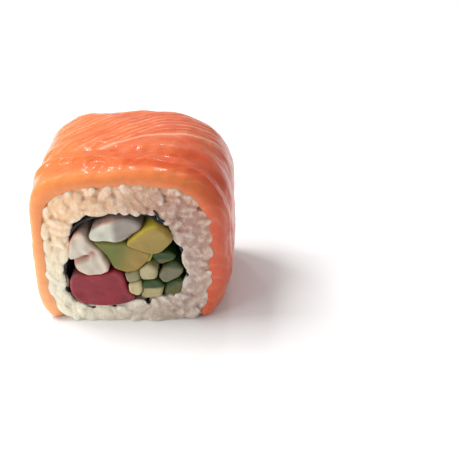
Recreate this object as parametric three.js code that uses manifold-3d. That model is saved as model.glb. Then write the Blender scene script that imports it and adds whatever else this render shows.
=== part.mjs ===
// One piece of a salmon-wrapped inside-out sushi roll, lying on its side with a cut face to the front.
// Two overlapping slices of raw salmon lie over a ring of rice, which a sheet of nori lines. Inside the nori
// run batons of crab stick, avocado, tuna and cucumber, from one cut face to the other.
// Millimetres. X runs across the cut face, Y along the roll from the front cut to the back one, Z up.
// The origin is on the surface that the piece lies on, below the middle of its box.
import * as THREE from "three";
import { mergeVertices } from "three/addons/utils/BufferGeometryUtils.js";
import Module from "manifold-3d";

const wasm = await Module();
wasm.setup();

// Driving sizes: the roll before it settles, which is a straight prism with its front cut at -LENGTH / 2.
const LENGTH = 31.5;
const HALF = LENGTH / 2;
const GAP = 0.3;
const SALMON_THICKNESS = 2.3;
const LEFT_THINNING = 1.0;
const NORI_THICKNESS = 0.4;

// The rice is a rounded square: a half width, a half height, how much wider it is at the top than at the
// bottom, how much higher it is on the right, and how square each corner is, 2 being an ellipse.
const RICE = {
  halfWidth: 18.9,
  halfHeight: 17.7,
  centre: [0, 17.7],
  lean: 0.02,
  tilt: 0.0008,
  corners: { topRight: 2.65, topLeft: 4.0, bottomLeft: 4.4, bottomRight: 5.0 },
};

// The loop of nori fits the fillings: its radii from a centre, every 20 degrees from the right, through
// the top.
const NORI = {
  centre: [-0.4, 16.1],
  lean: 0,
  tilt: 0,
  radii: [
    13.4, 13.2, 14.2, 13.5, 12.8, 13.0, 13.6, 14.0, 13.5,
    13.5, 14.9, 17.0, 14.8, 12.7, 12.2, 13.1, 14.8, 14.8,
  ],
};

// The sheet of nori starts and ends at its top right, where the end lies over the start and lifts away.
const NORI_START = THREE.MathUtils.degToRad(38);
const NORI_LAP = THREE.MathUtils.degToRad(24);
const NORI_FLARE = 1.3;
const NORI_RECESS = 0.7;

// The settled roll: it swells between its cuts, drifts sideways along its length, and is cut a little askew.
const SWELL_ACROSS = 0.032;
const SWELL_UP = 0.04;
const SWELL_SHIFT = 0.6;
const DRIFT = 0.3;
const CUT_SKEW = 0.05;

// The salmon: each slice is a strip from one tip, low on the left, over the top to the other.
const LEFT_TIP = THREE.MathUtils.degToRad(226.5);
const RIGHT_TIP = THREE.MathUtils.degToRad(-46);
const SALMON_STATIONS = 36;
const SALMON_FLOOR = 0.35;
const TIP_SWELL = 0.7;
const TIP_SHARE = 0.07;
const EDGE_THICKNESS = 1.5;
const TUCK = { length: 2.4, thickness: 0.45, taper: 6.0, ramp: 2.6 };

// Where along the roll the front slice ends on the back one, from the left tip, 0, to the right one, 1.
const EDGE_PLACES = [
  [0, -4.5], [0.25, -4], [0.42, -5.5], [0.54, -8],
  [0.63, -8.2], [0.73, -9.6], [0.85, -9.2], [1, -8],
];

// The rice: a core with the grains that show fused to its cut faces and its underside.
const GRAIN = { radius: 1.3, halfLength: 2.95, sides: 5, rings: 4 };
const GRAINS_PER_FACE = 68;
const GRAINS_BELOW = 34;
const CORE_DEPTH = 1.4;
const CORE_LIFT = 0.45;
const CANDIDATES = 60;
const SEED = 20482;
const RICE_INSET = 0.2;
const GRAIN_CLEARANCE = 0.15;
const FOOT_HALF_WIDTH = 15.0;
const FOOT_HEIGHT = 3;
const PRESSED_PATCH = { radius: 3, height: 2 };
const LOW_BULGE = 0.7;

// The fillings' ends are drawn in by this much.
const STRAND_ROUND = 0.35;

// The fillings, by their corners on the front cut face, x and z, with how far each stands out of the cuts.
const FILLINGS = [
  {
    name: "crab_stick_top",
    colour: 0xe9e2d6,
    radius: 1.1,
    proud: [0.3, 0.1],
    corners: [
      [-7.8, 22.6], [-7.2, 24.8], [-4.5, 26.9], [-0.9, 27.8],
      [2.1, 27.4], [4.1, 25.7], [1.2, 23.4], [-0.7, 22.3],
    ],
  },
  {
    name: "crab_stick_left",
    colour: 0xe9e2d6,
    radius: 1.2,
    proud: [0.5, 0.2],
    corners: [
      [-12.5, 18.0], [-12.1, 21.4], [-10.9, 23.8], [-8.9, 24.4], [-8.3, 22.2],
      [-5.8, 19.6], [-3.9, 15.9], [-4.3, 13.8], [-8.9, 13.4], [-10.9, 14.4], [-11.3, 16.5],
    ],
  },
  {
    name: "avocado_middle",
    colour: 0xc7b257,
    radius: 0.6,
    proud: [0.1, 0.3],
    corners: [
      [-6.9, 21.9], [-0.2, 21.6], [5.4, 18.8], [5.0, 17.0],
      [2.5, 14.4], [-0.1, 13.8], [-2.7, 15.0], [-4.2, 18.6],
    ],
  },
  {
    name: "avocado_right",
    colour: 0xd0bc58,
    radius: 0.5,
    proud: [1.1, -0.4],
    corners: [[0.4, 21.9], [4.6, 25.6], [6.9, 26.6], [8.8, 25.2], [10.6, 22.8], [7.7, 19.6], [5.6, 19.4]],
  },
  {
    name: "tuna",
    colour: 0xa8333f,
    radius: 1.0,
    proud: [-0.2, 0.3],
    corners: [
      [-13.1, 10.6], [-12.2, 12.6], [-8.9, 12.9], [-4.2, 13.2], [-2.8, 14.3], [-1.1, 12.8],
      [-0.4, 8.1], [1.7, 6.7], [0.2, 4.9], [-4.5, 4.3], [-9.2, 4.3], [-11.8, 5.5], [-13.0, 8.2],
    ],
  },
  {
    name: "cucumber_1",
    colour: 0xc9c48f,
    radius: 0.35,
    proud: [-0.1, 0.2],
    corners: [[-0.5, 13.1], [2.3, 13.7], [2.6, 11.2], [0.1, 10.7]],
  },
  {
    name: "cucumber_2",
    colour: 0xc6c193,
    radius: 0.45,
    proud: [0.4, -0.2],
    corners: [[2.8, 14.2], [5.3, 16.4], [6.8, 15.1], [6.6, 12.3], [3.2, 11.4]],
  },
  {
    name: "cucumber_3",
    colour: 0xd4d09c,
    radius: 0.35,
    proud: [0.2, 0.3],
    corners: [[0.2, 10.3], [2.9, 10.8], [3.1, 8.4], [2.3, 7.4], [0.4, 8.4]],
  },
  {
    name: "cucumber_4",
    colour: 0xb4b877,
    radius: 0.45,
    proud: [-0.3, 0.0],
    corners: [[3.4, 10.9], [6.6, 11.8], [7.9, 10.0], [7.2, 6.4], [2.9, 5.7], [2.7, 7.0], [3.5, 8.4]],
  },
  {
    name: "cucumber_5",
    colour: 0x9aa283,
    radius: 0.5,
    proud: [0.0, 0.2],
    corners: [[7.0, 12.7], [8.3, 14.9], [10.3, 15.8], [12.3, 13.7], [11.7, 12.1], [8.3, 10.6]],
  },
  {
    name: "cucumber_6",
    colour: 0x6f8a4a,
    radius: 0.45,
    proud: [-0.5, 0.3],
    corners: [[5.7, 17.4], [6.6, 19.0], [9.0, 19.3], [10.7, 17.6], [10.4, 16.4], [7.4, 15.2]],
  },
  {
    name: "cucumber_7",
    colour: 0x7d8a52,
    radius: 0.45,
    proud: [-0.2, -0.2],
    corners: [[8.4, 10.1], [11.8, 11.4], [12.1, 9.8], [11.2, 7.7], [8.0, 6.8]],
  },
];

const smooth = (low, high, value) => THREE.MathUtils.smoothstep(value, low, high);

// A seeded draw between two limits, so that every build gives the same grains.
let drawState = SEED;
function draw(low, high) {
  drawState = (drawState + 0x6d2b79f5) | 0;
  let t = Math.imul(drawState ^ (drawState >>> 15), 1 | drawState);
  t = (t + Math.imul(t ^ (t >>> 7), 61 | t)) ^ t;
  return low + ((t ^ (t >>> 14)) >>> 0) / 4294967296 * (high - low);
}

// How far a loop given by its radii reaches from its centre at an angle, smoothly from one to the next.
function loopReach(radii, angle) {
  const at = THREE.MathUtils.euclideanModulo(angle, 2 * Math.PI) / (2 * Math.PI) * radii.length;
  const i = Math.floor(at);
  const t = at - i;
  const [a, b, c, d] = [-1, 0, 1, 2].map((k) => radii[(i + k + radii.length) % radii.length]);
  return b + 0.5 * t * (c - a + t * (2 * a - 5 * b + 4 * c - d + t * (3 * (b - c) + d - a)));
}

// How far a rounded square reaches from its centre at an angle, with its corners' squareness blended.
function squareReach({ halfWidth, halfHeight, corners }, angle) {
  const c = Math.cos(angle);
  const s = Math.sin(angle);
  const right = smooth(0, 1, (1 + c) / 2);
  const up = smooth(0, 1, (1 + s) / 2);
  const top = THREE.MathUtils.lerp(corners.topLeft, corners.topRight, right);
  const bottom = THREE.MathUtils.lerp(corners.bottomLeft, corners.bottomRight, right);
  const power = THREE.MathUtils.lerp(bottom, top, up);
  return (Math.abs(c / halfWidth) ** power + Math.abs(s / halfHeight) ** power) ** (-1 / power);
}

const reach = (form, angle) => (form.radii ? loopReach(form.radii, angle) : squareReach(form, angle));

// A point of the outline at an angle, moved out along its normal by an offset.
function outlinePoint(form, angle, offset = 0) {
  const at = (a) => {
    const r = reach(form, a);
    const x = form.centre[0] + r * Math.cos(a) * (1 + form.lean * Math.sin(a));
    return new THREE.Vector2(x, (form.centre[1] + r * Math.sin(a)) * (1 + form.tilt * x));
  };
  const step = 1e-3;
  const along = at(angle + step).sub(at(angle - step)).normalize();
  return at(angle).add(new THREE.Vector2(along.y, -along.x).multiplyScalar(offset));
}

// Angles from one to another that are evenly spaced along the outline.
function evenAngles(form, from, to, count) {
  const fine = 720;
  const lengths = [0];
  let last = outlinePoint(form, from);
  for (let i = 1; i <= fine; i++) {
    const next = outlinePoint(form, from + (to - from) * i / fine);
    lengths.push(lengths[i - 1] + next.distanceTo(last));
    last = next;
  }
  return Array.from({ length: count + 1 }, (_, k) => {
    const wanted = lengths[fine] * k / count;
    const i = Math.max(1, lengths.findIndex((l) => l >= wanted - 1e-9));
    const share = (wanted - lengths[i - 1]) / (lengths[i] - lengths[i - 1]);
    return from + (to - from) * (i - 1 + share) / fine;
  });
}

// Moves a point of the straight roll to where it lies on the settled one.
function settle(point) {
  const along = THREE.MathUtils.clamp(point.y / HALF, -1, 1);
  const belly = 1 - Math.abs(along) ** 3;
  const fromFront = (1 + along) / 2;
  return point.set(
    point.x * (1 + SWELL_ACROSS * belly) + SWELL_SHIFT * belly + DRIFT * fromFront,
    point.y + CUT_SKEW * point.x * (1 - fromFront),
    point.z * (1 + SWELL_UP * belly),
  );
}

// A mesh of a straight geometry, settled, with its own colour.
function settledMesh(name, geometry, colour, roughness) {
  const position = geometry.getAttribute("position");
  const point = new THREE.Vector3();
  for (let i = 0; i < position.count; i++) {
    settle(point.fromBufferAttribute(position, i));
    position.setXYZ(i, point.x, point.y, point.z);
  }
  geometry.computeVertexNormals();
  const finish = new THREE.MeshStandardMaterial({ color: colour, roughness, metalness: 0 });
  const mesh = new THREE.Mesh(geometry, finish);
  mesh.name = name;
  return mesh;
}

// A shape of the cut face pushed back along the roll.
function prism(shape, front, back, steps) {
  const geometry = new THREE.ExtrudeGeometry(shape, { depth: back - front, steps, bevelEnabled: false });
  return geometry.rotateX(Math.PI / 2).translate(0, back, 0);
}

// The outline of a polygon whose corners are rounded.
function roundedOutline(corners, radius) {
  const points = corners.map(([x, z]) => new THREE.Vector2(x, z));
  if (THREE.ShapeUtils.area(points) < 0) points.reverse();
  return points.flatMap((corner, i) => {
    const before = points[(i + points.length - 1) % points.length];
    const after = points[(i + 1) % points.length];
    const towards = (other) => {
      const way = other.clone().sub(corner);
      return corner.clone().add(way.setLength(Math.min(radius, way.length() * 0.4)));
    };
    const bend = new THREE.QuadraticBezierCurve(towards(before), corner, towards(after));
    return bend.getPoints(radius < 0.6 ? 1 : 2);
  });
}

// A closed geometry through a row of rings. Each ring lists its points, and the flat form that closes an end.
function loft(rings) {
  const size = rings[0].points.length;
  const vertices = rings.flatMap((ring) => ring.points).flatMap((p) => [p.x, p.y, p.z]);
  const faces = [];
  for (let i = 0; i + 1 < rings.length; i++) {
    for (let j = 0; j < size; j++) {
      const next = (j + 1) % size;
      const [a, b, c, d] = [i * size + j, i * size + next, (i + 1) * size + next, (i + 1) * size + j];
      faces.push(a, c, b, a, d, c);
    }
  }
  const last = (rings.length - 1) * size;
  const start = THREE.ShapeUtils.triangulateShape(rings[0].flat, []);
  const end = THREE.ShapeUtils.triangulateShape(rings.at(-1).flat, []);
  for (const [a, b, c] of start) faces.push(a, b, c);
  for (const [a, b, c] of end) faces.push(last + a, last + c, last + b);
  const geometry = new THREE.BufferGeometry();
  geometry.setAttribute("position", new THREE.Float32BufferAttribute(vertices, 3));
  geometry.setIndex(faces);
  return geometry;
}

// A filling from one cut to the other, its outline drawn in a little at both ends.
function strand({ corners, radius, proud }) {
  const outline = roundedOutline(corners, radius);
  const middle = outline.reduce((sum, p) => sum.add(p), new THREE.Vector2()).divideScalar(outline.length);
  const size = Math.sqrt(THREE.ShapeUtils.area(outline) / Math.PI);
  const [front, back] = [-HALF - proud[0], HALF + proud[1]];
  const stations = [
    [front, STRAND_ROUND], [front + STRAND_ROUND, 0], [-HALF / 3, 0],
    [HALF / 3, 0], [back - STRAND_ROUND, 0], [back, STRAND_ROUND],
  ];
  return loft(stations.map(([y, inset]) => {
    const flat = outline.map((p) => p.clone().lerp(middle, inset / size));
    return { flat, points: flat.map((p) => new THREE.Vector3(p.x, y, p.y)) };
  }));
}

// How the nori's sheet winds: its offset from the loop, at an angle past its start.
function noriOffset(turned) {
  const lapped = smooth(2 * Math.PI - NORI_LAP, 2 * Math.PI + 0.05, turned);
  const flared = smooth(2 * Math.PI + NORI_LAP * 0.35, 2 * Math.PI + NORI_LAP, turned);
  return lapped * (NORI_THICKNESS + GAP) + flared * NORI_FLARE;
}

function noriShape() {
  const full = 2 * Math.PI + NORI_LAP;
  const angles = evenAngles(NORI, NORI_START, NORI_START + full, 44);
  const inner = angles.map((a) => outlinePoint(NORI, a, noriOffset(a - NORI_START) - NORI_THICKNESS));
  const outer = angles.map((a) => outlinePoint(NORI, a, noriOffset(a - NORI_START)));
  return new THREE.Shape([...outer, ...inner.reverse()]);
}

// The hole through the rice: clear of the nori all round, and of its lifted end.
function holeOffset(angle) {
  const turned = THREE.MathUtils.euclideanModulo(angle - NORI_START, 2 * Math.PI);
  const atStart = smooth(2 * Math.PI - 0.3, 2 * Math.PI, turned);
  if (turned > Math.PI) return GAP * (1 + atStart) + noriOffset(turned + 0.05);
  const lapEnd = noriOffset(Math.min(turned + 0.05, NORI_LAP) + 2 * Math.PI);
  return GAP + (lapEnd + GAP) * (1 - smooth(NORI_LAP + 0.1, NORI_LAP + 0.34, turned));
}

// The rice's cut face, a little inside the outline that the grains may reach.
function riceRing() {
  const loop = (form, count, offset) => {
    return evenAngles(form, 0, 2 * Math.PI, count).slice(0, -1).map((a) => outlinePoint(form, a, offset(a)));
  };
  const shape = new THREE.Shape(loop(RICE, 48, () => -RICE_INSET));
  shape.holes.push(new THREE.Path(loop(NORI, 56, holeOffset)));
  return shape;
}

// Whether a point of the cut face lies in the rice. Where the rice meets the surface it may reach down to it.
function inRice(x, z) {
  const inside = (form, offset) => {
    const angle = Math.atan2(z - form.centre[1], x - form.centre[0]);
    const centre = new THREE.Vector2(...form.centre);
    const edge = outlinePoint(form, angle, offset(angle));
    return centre.distanceTo(new THREE.Vector2(x, z)) < centre.distanceTo(edge);
  };
  const overFoot = z > 0 && z < FOOT_HEIGHT && Math.abs(x) < FOOT_HALF_WIDTH;
  const inHole = inside(NORI, (angle) => holeOffset(angle) + GRAIN_CLEARANCE);
  return (overFoot || inside(RICE, () => -RICE_INSET)) && !inHole;
}

// One grain of rice: a low-sided long round body, turned and placed.
function grainSolid(place) {
  const geometry = new THREE.SphereGeometry(1, GRAIN.sides, GRAIN.rings);
  geometry.scale(GRAIN.radius * place.size, GRAIN.halfLength * place.size, GRAIN.radius * place.size);
  geometry.applyQuaternion(new THREE.Quaternion().setFromUnitVectors(new THREE.Vector3(0, 1, 0), place.way));
  geometry.translate(place.x, place.y, place.z);
  return solidOf(geometry);
}

function solidOf(geometry) {
  geometry.deleteAttribute("normal");
  geometry.deleteAttribute("uv");
  const merged = mergeVertices(geometry, 1e-4);
  return new wasm.Manifold(new wasm.Mesh({
    numProp: 3,
    vertProperties: merged.attributes.position.array,
    triVerts: new Uint32Array(merged.index.array),
  }));
}

function geometryOf(solid) {
  const { numProp, numVert, vertProperties, triVerts } = solid.getMesh();
  const positions = new Float32Array(numVert * 3);
  for (let i = 0; i < numVert; i++) {
    positions.set(vertProperties.subarray(i * numProp, i * numProp + 3), i * 3);
  }
  const geometry = new THREE.BufferGeometry();
  geometry.setAttribute("position", new THREE.BufferAttribute(positions, 3));
  geometry.setIndex(new THREE.BufferAttribute(new Uint32Array(triVerts), 1));
  return geometry;
}

// Grains spread evenly: each is the one of many drawn places that lies furthest from those already there.
function spread(count, drawPlace) {
  const placed = [];
  for (let i = 0; i < count; i++) {
    let best = null;
    for (let k = 0; k < CANDIDATES; k++) {
      const place = drawPlace();
      if (!place) continue;
      const gaps = placed.map((p) => Math.hypot(p.x - place.x, p.y - place.y, p.z - place.z));
      const nearest = Math.min(Infinity, ...gaps);
      if (!best || nearest > best.nearest) best = { nearest, place };
    }
    if (best) placed.push(best.place);
  }
  return placed;
}

// A place for a grain on a cut face, or nothing where the grain would leave the rice.
function placeOnCut(side) {
  const x = draw(-RICE.halfWidth, RICE.halfWidth);
  const z = draw(0, 2 * RICE.halfHeight);
  const turn = draw(0, Math.PI);
  const tilt = draw(0, 1) < 0.25 ? draw(0.8, 1.3) : draw(-0.35, 0.35);
  const size = draw(0.9, 1.08);
  const flat = Math.cos(tilt);
  const way = new THREE.Vector3(Math.cos(turn) * flat, Math.sin(tilt), Math.sin(turn) * flat);
  const long = Math.hypot(GRAIN.halfLength * flat, GRAIN.radius * Math.sin(tilt)) * size;
  const wide = GRAIN.radius * size;
  for (let k = 0; k < 12; k++) {
    const a = k / 12 * 2 * Math.PI;
    const [u, v] = [long * Math.cos(a), wide * Math.sin(a)];
    const across = x + u * Math.cos(turn) - v * Math.sin(turn);
    const up = z + u * Math.sin(turn) + v * Math.cos(turn);
    if (!inRice(across, up)) return null;
  }
  const deep = Math.hypot(GRAIN.halfLength * Math.sin(tilt), GRAIN.radius * flat) * size;
  const bulge = LOW_BULGE * (1 - smooth(1.5, 6, z));
  return { x, z, y: side * (HALF - deep + bulge + draw(-0.3, 0.15)), way, size };
}

// A place for a grain on the underside, pressed flat where it meets the surface.
function placeBelow() {
  const turn = draw(0, Math.PI);
  const way = new THREE.Vector3(Math.cos(turn), Math.sin(turn), draw(-0.1, 0.1)).normalize();
  const size = draw(0.92, 1.08);
  const reachX = FOOT_HALF_WIDTH - GRAIN.radius - Math.abs(way.x) * (GRAIN.halfLength - GRAIN.radius);
  const reachY = HALF - GRAIN.radius - Math.abs(way.y) * GRAIN.halfLength;
  const z = GRAIN.radius * size - draw(0.2, 0.45);
  return { x: draw(-reachX, reachX), y: draw(-reachY, reachY), z, way, size };
}

// The rice: its core stands a little off the surface, on the pressed grains and a pressed patch.
function riceSolid() {
  const ring = solidOf(prism(riceRing(), -HALF + CORE_DEPTH, HALF - CORE_DEPTH, 2));
  const core = ring.subtract(solidOf(new THREE.BoxGeometry(4 * HALF, 4 * HALF, 2 * CORE_LIFT)));
  const { radius, height } = PRESSED_PATCH;
  const disc = new THREE.CylinderGeometry(radius, radius, height, 12);
  const patch = solidOf(disc.rotateX(Math.PI / 2).translate(0, 0, height / 2));
  const grains = [
    ...spread(GRAINS_PER_FACE, () => placeOnCut(-1)),
    ...spread(GRAINS_PER_FACE, () => placeOnCut(1)),
    ...spread(GRAINS_BELOW, placeBelow),
  ].map(grainSolid);
  const below = solidOf(new THREE.BoxGeometry(4 * HALF, 4 * HALF, HALF).translate(0, 0, -HALF / 2));
  const fused = wasm.Manifold.union([core, patch, ...grains]).subtract(below);
  return fused.decompose().reduce((best, body) => (body.volume() > best.volume() ? body : best));
}

// The thickness of the salmon along its wrap, from 0 at the left tip to 1 at the right one.
function salmonThickness(share) {
  const nearTip = Math.exp(-((share / TIP_SHARE) ** 2)) + 0.6 * Math.exp(-(((1 - share) / TIP_SHARE) ** 2));
  const round = Math.min(1, 0.45 + 14 * share, 0.45 + 14 * (1 - share));
  const thinned = LEFT_THINNING * (1 - smooth(0.1, 0.34, share));
  return (SALMON_THICKNESS - thinned + TIP_SWELL * nearTip) * round;
}

function edgePlace(share) {
  const i = EDGE_PLACES.findIndex(([at]) => at >= share);
  if (i <= 0) return EDGE_PLACES[0][1];
  const [[fromShare, from], [toShare, to]] = [EDGE_PLACES[i - 1], EDGE_PLACES[i]];
  return THREE.MathUtils.lerp(from, to, smooth(fromShare, toShare, share));
}

// A slice as rings round its own section: each ring point has a place along the roll, and lies out from the
// slice's inner side by a share of its thickness.
function salmonSlice(profile, inner, thickness) {
  const angles = evenAngles(RICE, RIGHT_TIP, LEFT_TIP, SALMON_STATIONS);
  return loft(angles.map((angle, k) => {
    const share = 1 - k / SALMON_STATIONS;
    const edge = edgePlace(share);
    const scale = salmonThickness(share) / SALMON_THICKNESS;
    const flat = profile(edge).map(([y, out]) => {
      return new THREE.Vector2(y, inner(y - edge, scale) + out * thickness(y - edge) * scale);
    });
    const points = flat.map(({ x: y, y: offset }) => {
      const p = outlinePoint(RICE, angle, offset);
      return new THREE.Vector3(p.x, y, Math.max(SALMON_FLOOR, p.y));
    });
    return { flat, points };
  }));
}

// The back slice thins down to its own edge, which lies under the front slice.
function backThickness(pastEdge) {
  const share = THREE.MathUtils.clamp((pastEdge + TUCK.length) / TUCK.taper, 0, 1);
  return THREE.MathUtils.lerp(TUCK.thickness, SALMON_THICKNESS, share);
}

// The front slice climbs over the back one, and thins a little towards its edge.
function frontInner(pastEdge, scale) {
  const over = smooth(-TUCK.length - TUCK.ramp, -TUCK.length - GAP, pastEdge);
  return GAP + (backThickness(pastEdge) * scale + 1.5 * GAP) * over;
}

function frontThickness(pastEdge) {
  return THREE.MathUtils.lerp(SALMON_THICKNESS, EDGE_THICKNESS, smooth(-3, 0, pastEdge));
}

// Each slice's section, as places along the roll, each with its share of the slice's thickness there.
const SALMON_END = HALF - 0.15;

function frontProfile(edge) {
  const tuck = edge - TUCK.length;
  const ramp = Math.max(tuck - TUCK.ramp, -SALMON_END + 1.2);
  return [
    [-SALMON_END + 0.3, 0], [ramp, 0], [(ramp + tuck) / 2, 0], [tuck - GAP, 0], [edge - 0.3, 0],
    [edge, 0.5], [edge - 0.5, 1], [edge - 1.5, 1], [tuck - GAP, 1], [(ramp + tuck) / 2, 1], [ramp, 1],
    [-SALMON_END + 0.9, 1], [-SALMON_END + 0.2, 0.75], [-SALMON_END, 0.3],
  ];
}

function backProfile(edge) {
  const tuck = edge - TUCK.length;
  return [
    [tuck, 0.5], [tuck + 0.4, 0], [tuck + TUCK.taper, 0], [2, 0], [9, 0], [SALMON_END - 0.3, 0],
    [SALMON_END, 0.3], [SALMON_END - 0.2, 0.75], [SALMON_END - 0.9, 1], [11, 1], [6, 1], [1, 1],
    [tuck + TUCK.taper, 1], [tuck + TUCK.taper / 2, 1], [tuck + 0.4, 1],
  ];
}

const roll = new THREE.Group();
roll.add(settledMesh("rice", geometryOf(riceSolid()), 0xe6dccb, 0.45));
roll.add(settledMesh("nori", prism(noriShape(), -HALF + NORI_RECESS, HALF - NORI_RECESS, 3), 0x1c1f1c, 0.6));
roll.add(settledMesh("salmon_front", salmonSlice(frontProfile, frontInner, frontThickness), 0xee7540, 0.3));
roll.add(settledMesh("salmon_back", salmonSlice(backProfile, () => GAP, backThickness), 0xe96a3c, 0.3));
for (const filling of FILLINGS) roll.add(settledMesh(filling.name, strand(filling), filling.colour, 0.4));

// The origin goes below the middle of the whole.
const box = new THREE.Box3().setFromObject(roll, true);
const middle = box.getCenter(new THREE.Vector3());
roll.children.forEach((mesh) => mesh.geometry.translate(-middle.x, -middle.y, -box.min.z));

export default roll;
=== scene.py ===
"""One piece of a salmon-wrapped inside-out roll: its fine shapes, its finishes and its light."""
import logging
import math
from abc import ABC, abstractmethod
from collections.abc import Callable, Sequence
from dataclasses import dataclass, field, replace
from enum import Enum

import bmesh
import bpy
import numpy as np
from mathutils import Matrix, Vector
from mathutils.kdtree import KDTree


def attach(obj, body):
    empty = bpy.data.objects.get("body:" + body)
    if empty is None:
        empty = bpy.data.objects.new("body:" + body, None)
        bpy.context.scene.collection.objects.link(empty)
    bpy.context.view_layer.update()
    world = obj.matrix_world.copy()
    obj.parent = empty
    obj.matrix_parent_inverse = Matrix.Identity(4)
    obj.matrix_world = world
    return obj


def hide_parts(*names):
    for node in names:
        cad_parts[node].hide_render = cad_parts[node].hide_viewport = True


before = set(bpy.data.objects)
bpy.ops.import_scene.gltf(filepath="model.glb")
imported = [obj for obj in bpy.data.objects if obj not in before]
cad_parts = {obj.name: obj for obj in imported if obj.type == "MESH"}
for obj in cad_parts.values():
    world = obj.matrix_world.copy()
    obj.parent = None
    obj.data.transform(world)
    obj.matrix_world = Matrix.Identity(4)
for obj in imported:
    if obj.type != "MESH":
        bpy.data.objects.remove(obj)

LOG = logging.getLogger("sushi_roll")

# Driving sizes of the straight roll, in millimetres, as in the CAD model: x across, y along, z up.
MM = 0.001
LENGTH = 31.5
HALF = LENGTH / 2
GAP = 0.3
SALMON_THICKNESS = 2.3
NORI_THICKNESS = 0.4
NORI_START = math.radians(38)
NORI_LAP = math.radians(24)
NORI_FLARE = 1.3
NORI_RECESS = 0.7
LEFT_TIP = math.radians(226.5)
RIGHT_TIP = math.radians(-46)

# How the roll settles: it swells between its cuts, drifts sideways, and its front cut is askew.
SWELL_ACROSS = 0.032
SWELL_UP = 0.04
SWELL_SHIFT = 0.6
DRIFT = 0.3
CUT_SKEW = 0.05

# The frame's origin lies below the middle of the whole box, this far from the straight roll's.
ORIGIN = (0.6632, -0.2078)

# A finely stepped outline is measured in this many steps.
FINE_STEPS = 1440

Array = np.ndarray
Socket = bpy.types.NodeSocket
Colour = tuple[float, ...]


def smooth(low: float, high: float, value: Array | float) -> Array | float:
    """Rises smoothly from 0 at low to 1 at high.

    Args:
        low: Where the rise starts.
        high: Where it ends.
        value: The places to read it at.

    Returns:
        The share risen, between 0 and 1.
    """
    share = np.clip((value - low) / (high - low), 0.0, 1.0)
    return share * share * (3 - 2 * share)


def lerp(start: Array | float, end: Array | float, share: Array | float) -> Array | float:
    """Goes from start to end by a share.

    Args:
        start: The value at 0.
        end: The value at 1.
        share: How far to go.

    Returns:
        The value there.
    """
    return start + (end - start) * share


def tint(red: int, green: int, blue: int) -> tuple[float, float, float, float]:
    """Turns a colour as a screen shows it into the linear one that a shader takes.

    Args:
        red: Red, 0 to 255.
        green: Green, 0 to 255.
        blue: Blue, 0 to 255.

    Returns:
        Linear red, green, blue and an opacity of 1.
    """
    def linear(level: int) -> float:
        """Linear light of one level."""
        share = level / 255
        return share / 12.92 if share <= 0.04045 else ((share + 0.055) / 1.055) ** 2.4

    return linear(red), linear(green), linear(blue), 1.0


def settled(points: Array) -> Array:
    """Moves points of the straight roll to where they lie on the settled one.

    Args:
        points: Points in millimetres on the straight roll, one a row.

    Returns:
        The points in metres, in the frame.
    """
    x, y, z = points[..., 0], points[..., 1], points[..., 2]
    along = np.clip(y / HALF, -1, 1)
    belly = 1 - np.abs(along) ** 3
    from_front = (1 + along) / 2
    moved = np.stack([
        x * (1 + SWELL_ACROSS * belly) + SWELL_SHIFT * belly + DRIFT * from_front - ORIGIN[0],
        y + CUT_SKEW * x * (1 - from_front) - ORIGIN[1],
        z * (1 + SWELL_UP * belly),
    ], axis=-1)
    return moved * MM


def straightened(places: Array) -> Array:
    """Finds the points of the straight roll that settle at the given places.

    Args:
        places: Points in metres, in the frame, one a row.

    Returns:
        The points in millimetres on the straight roll.
    """
    rounds = 6
    points = places / MM + np.array([ORIGIN[0], ORIGIN[1], 0.0])
    for _ in range(rounds):
        points = points + (places - settled(points)) / MM
    return points


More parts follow.
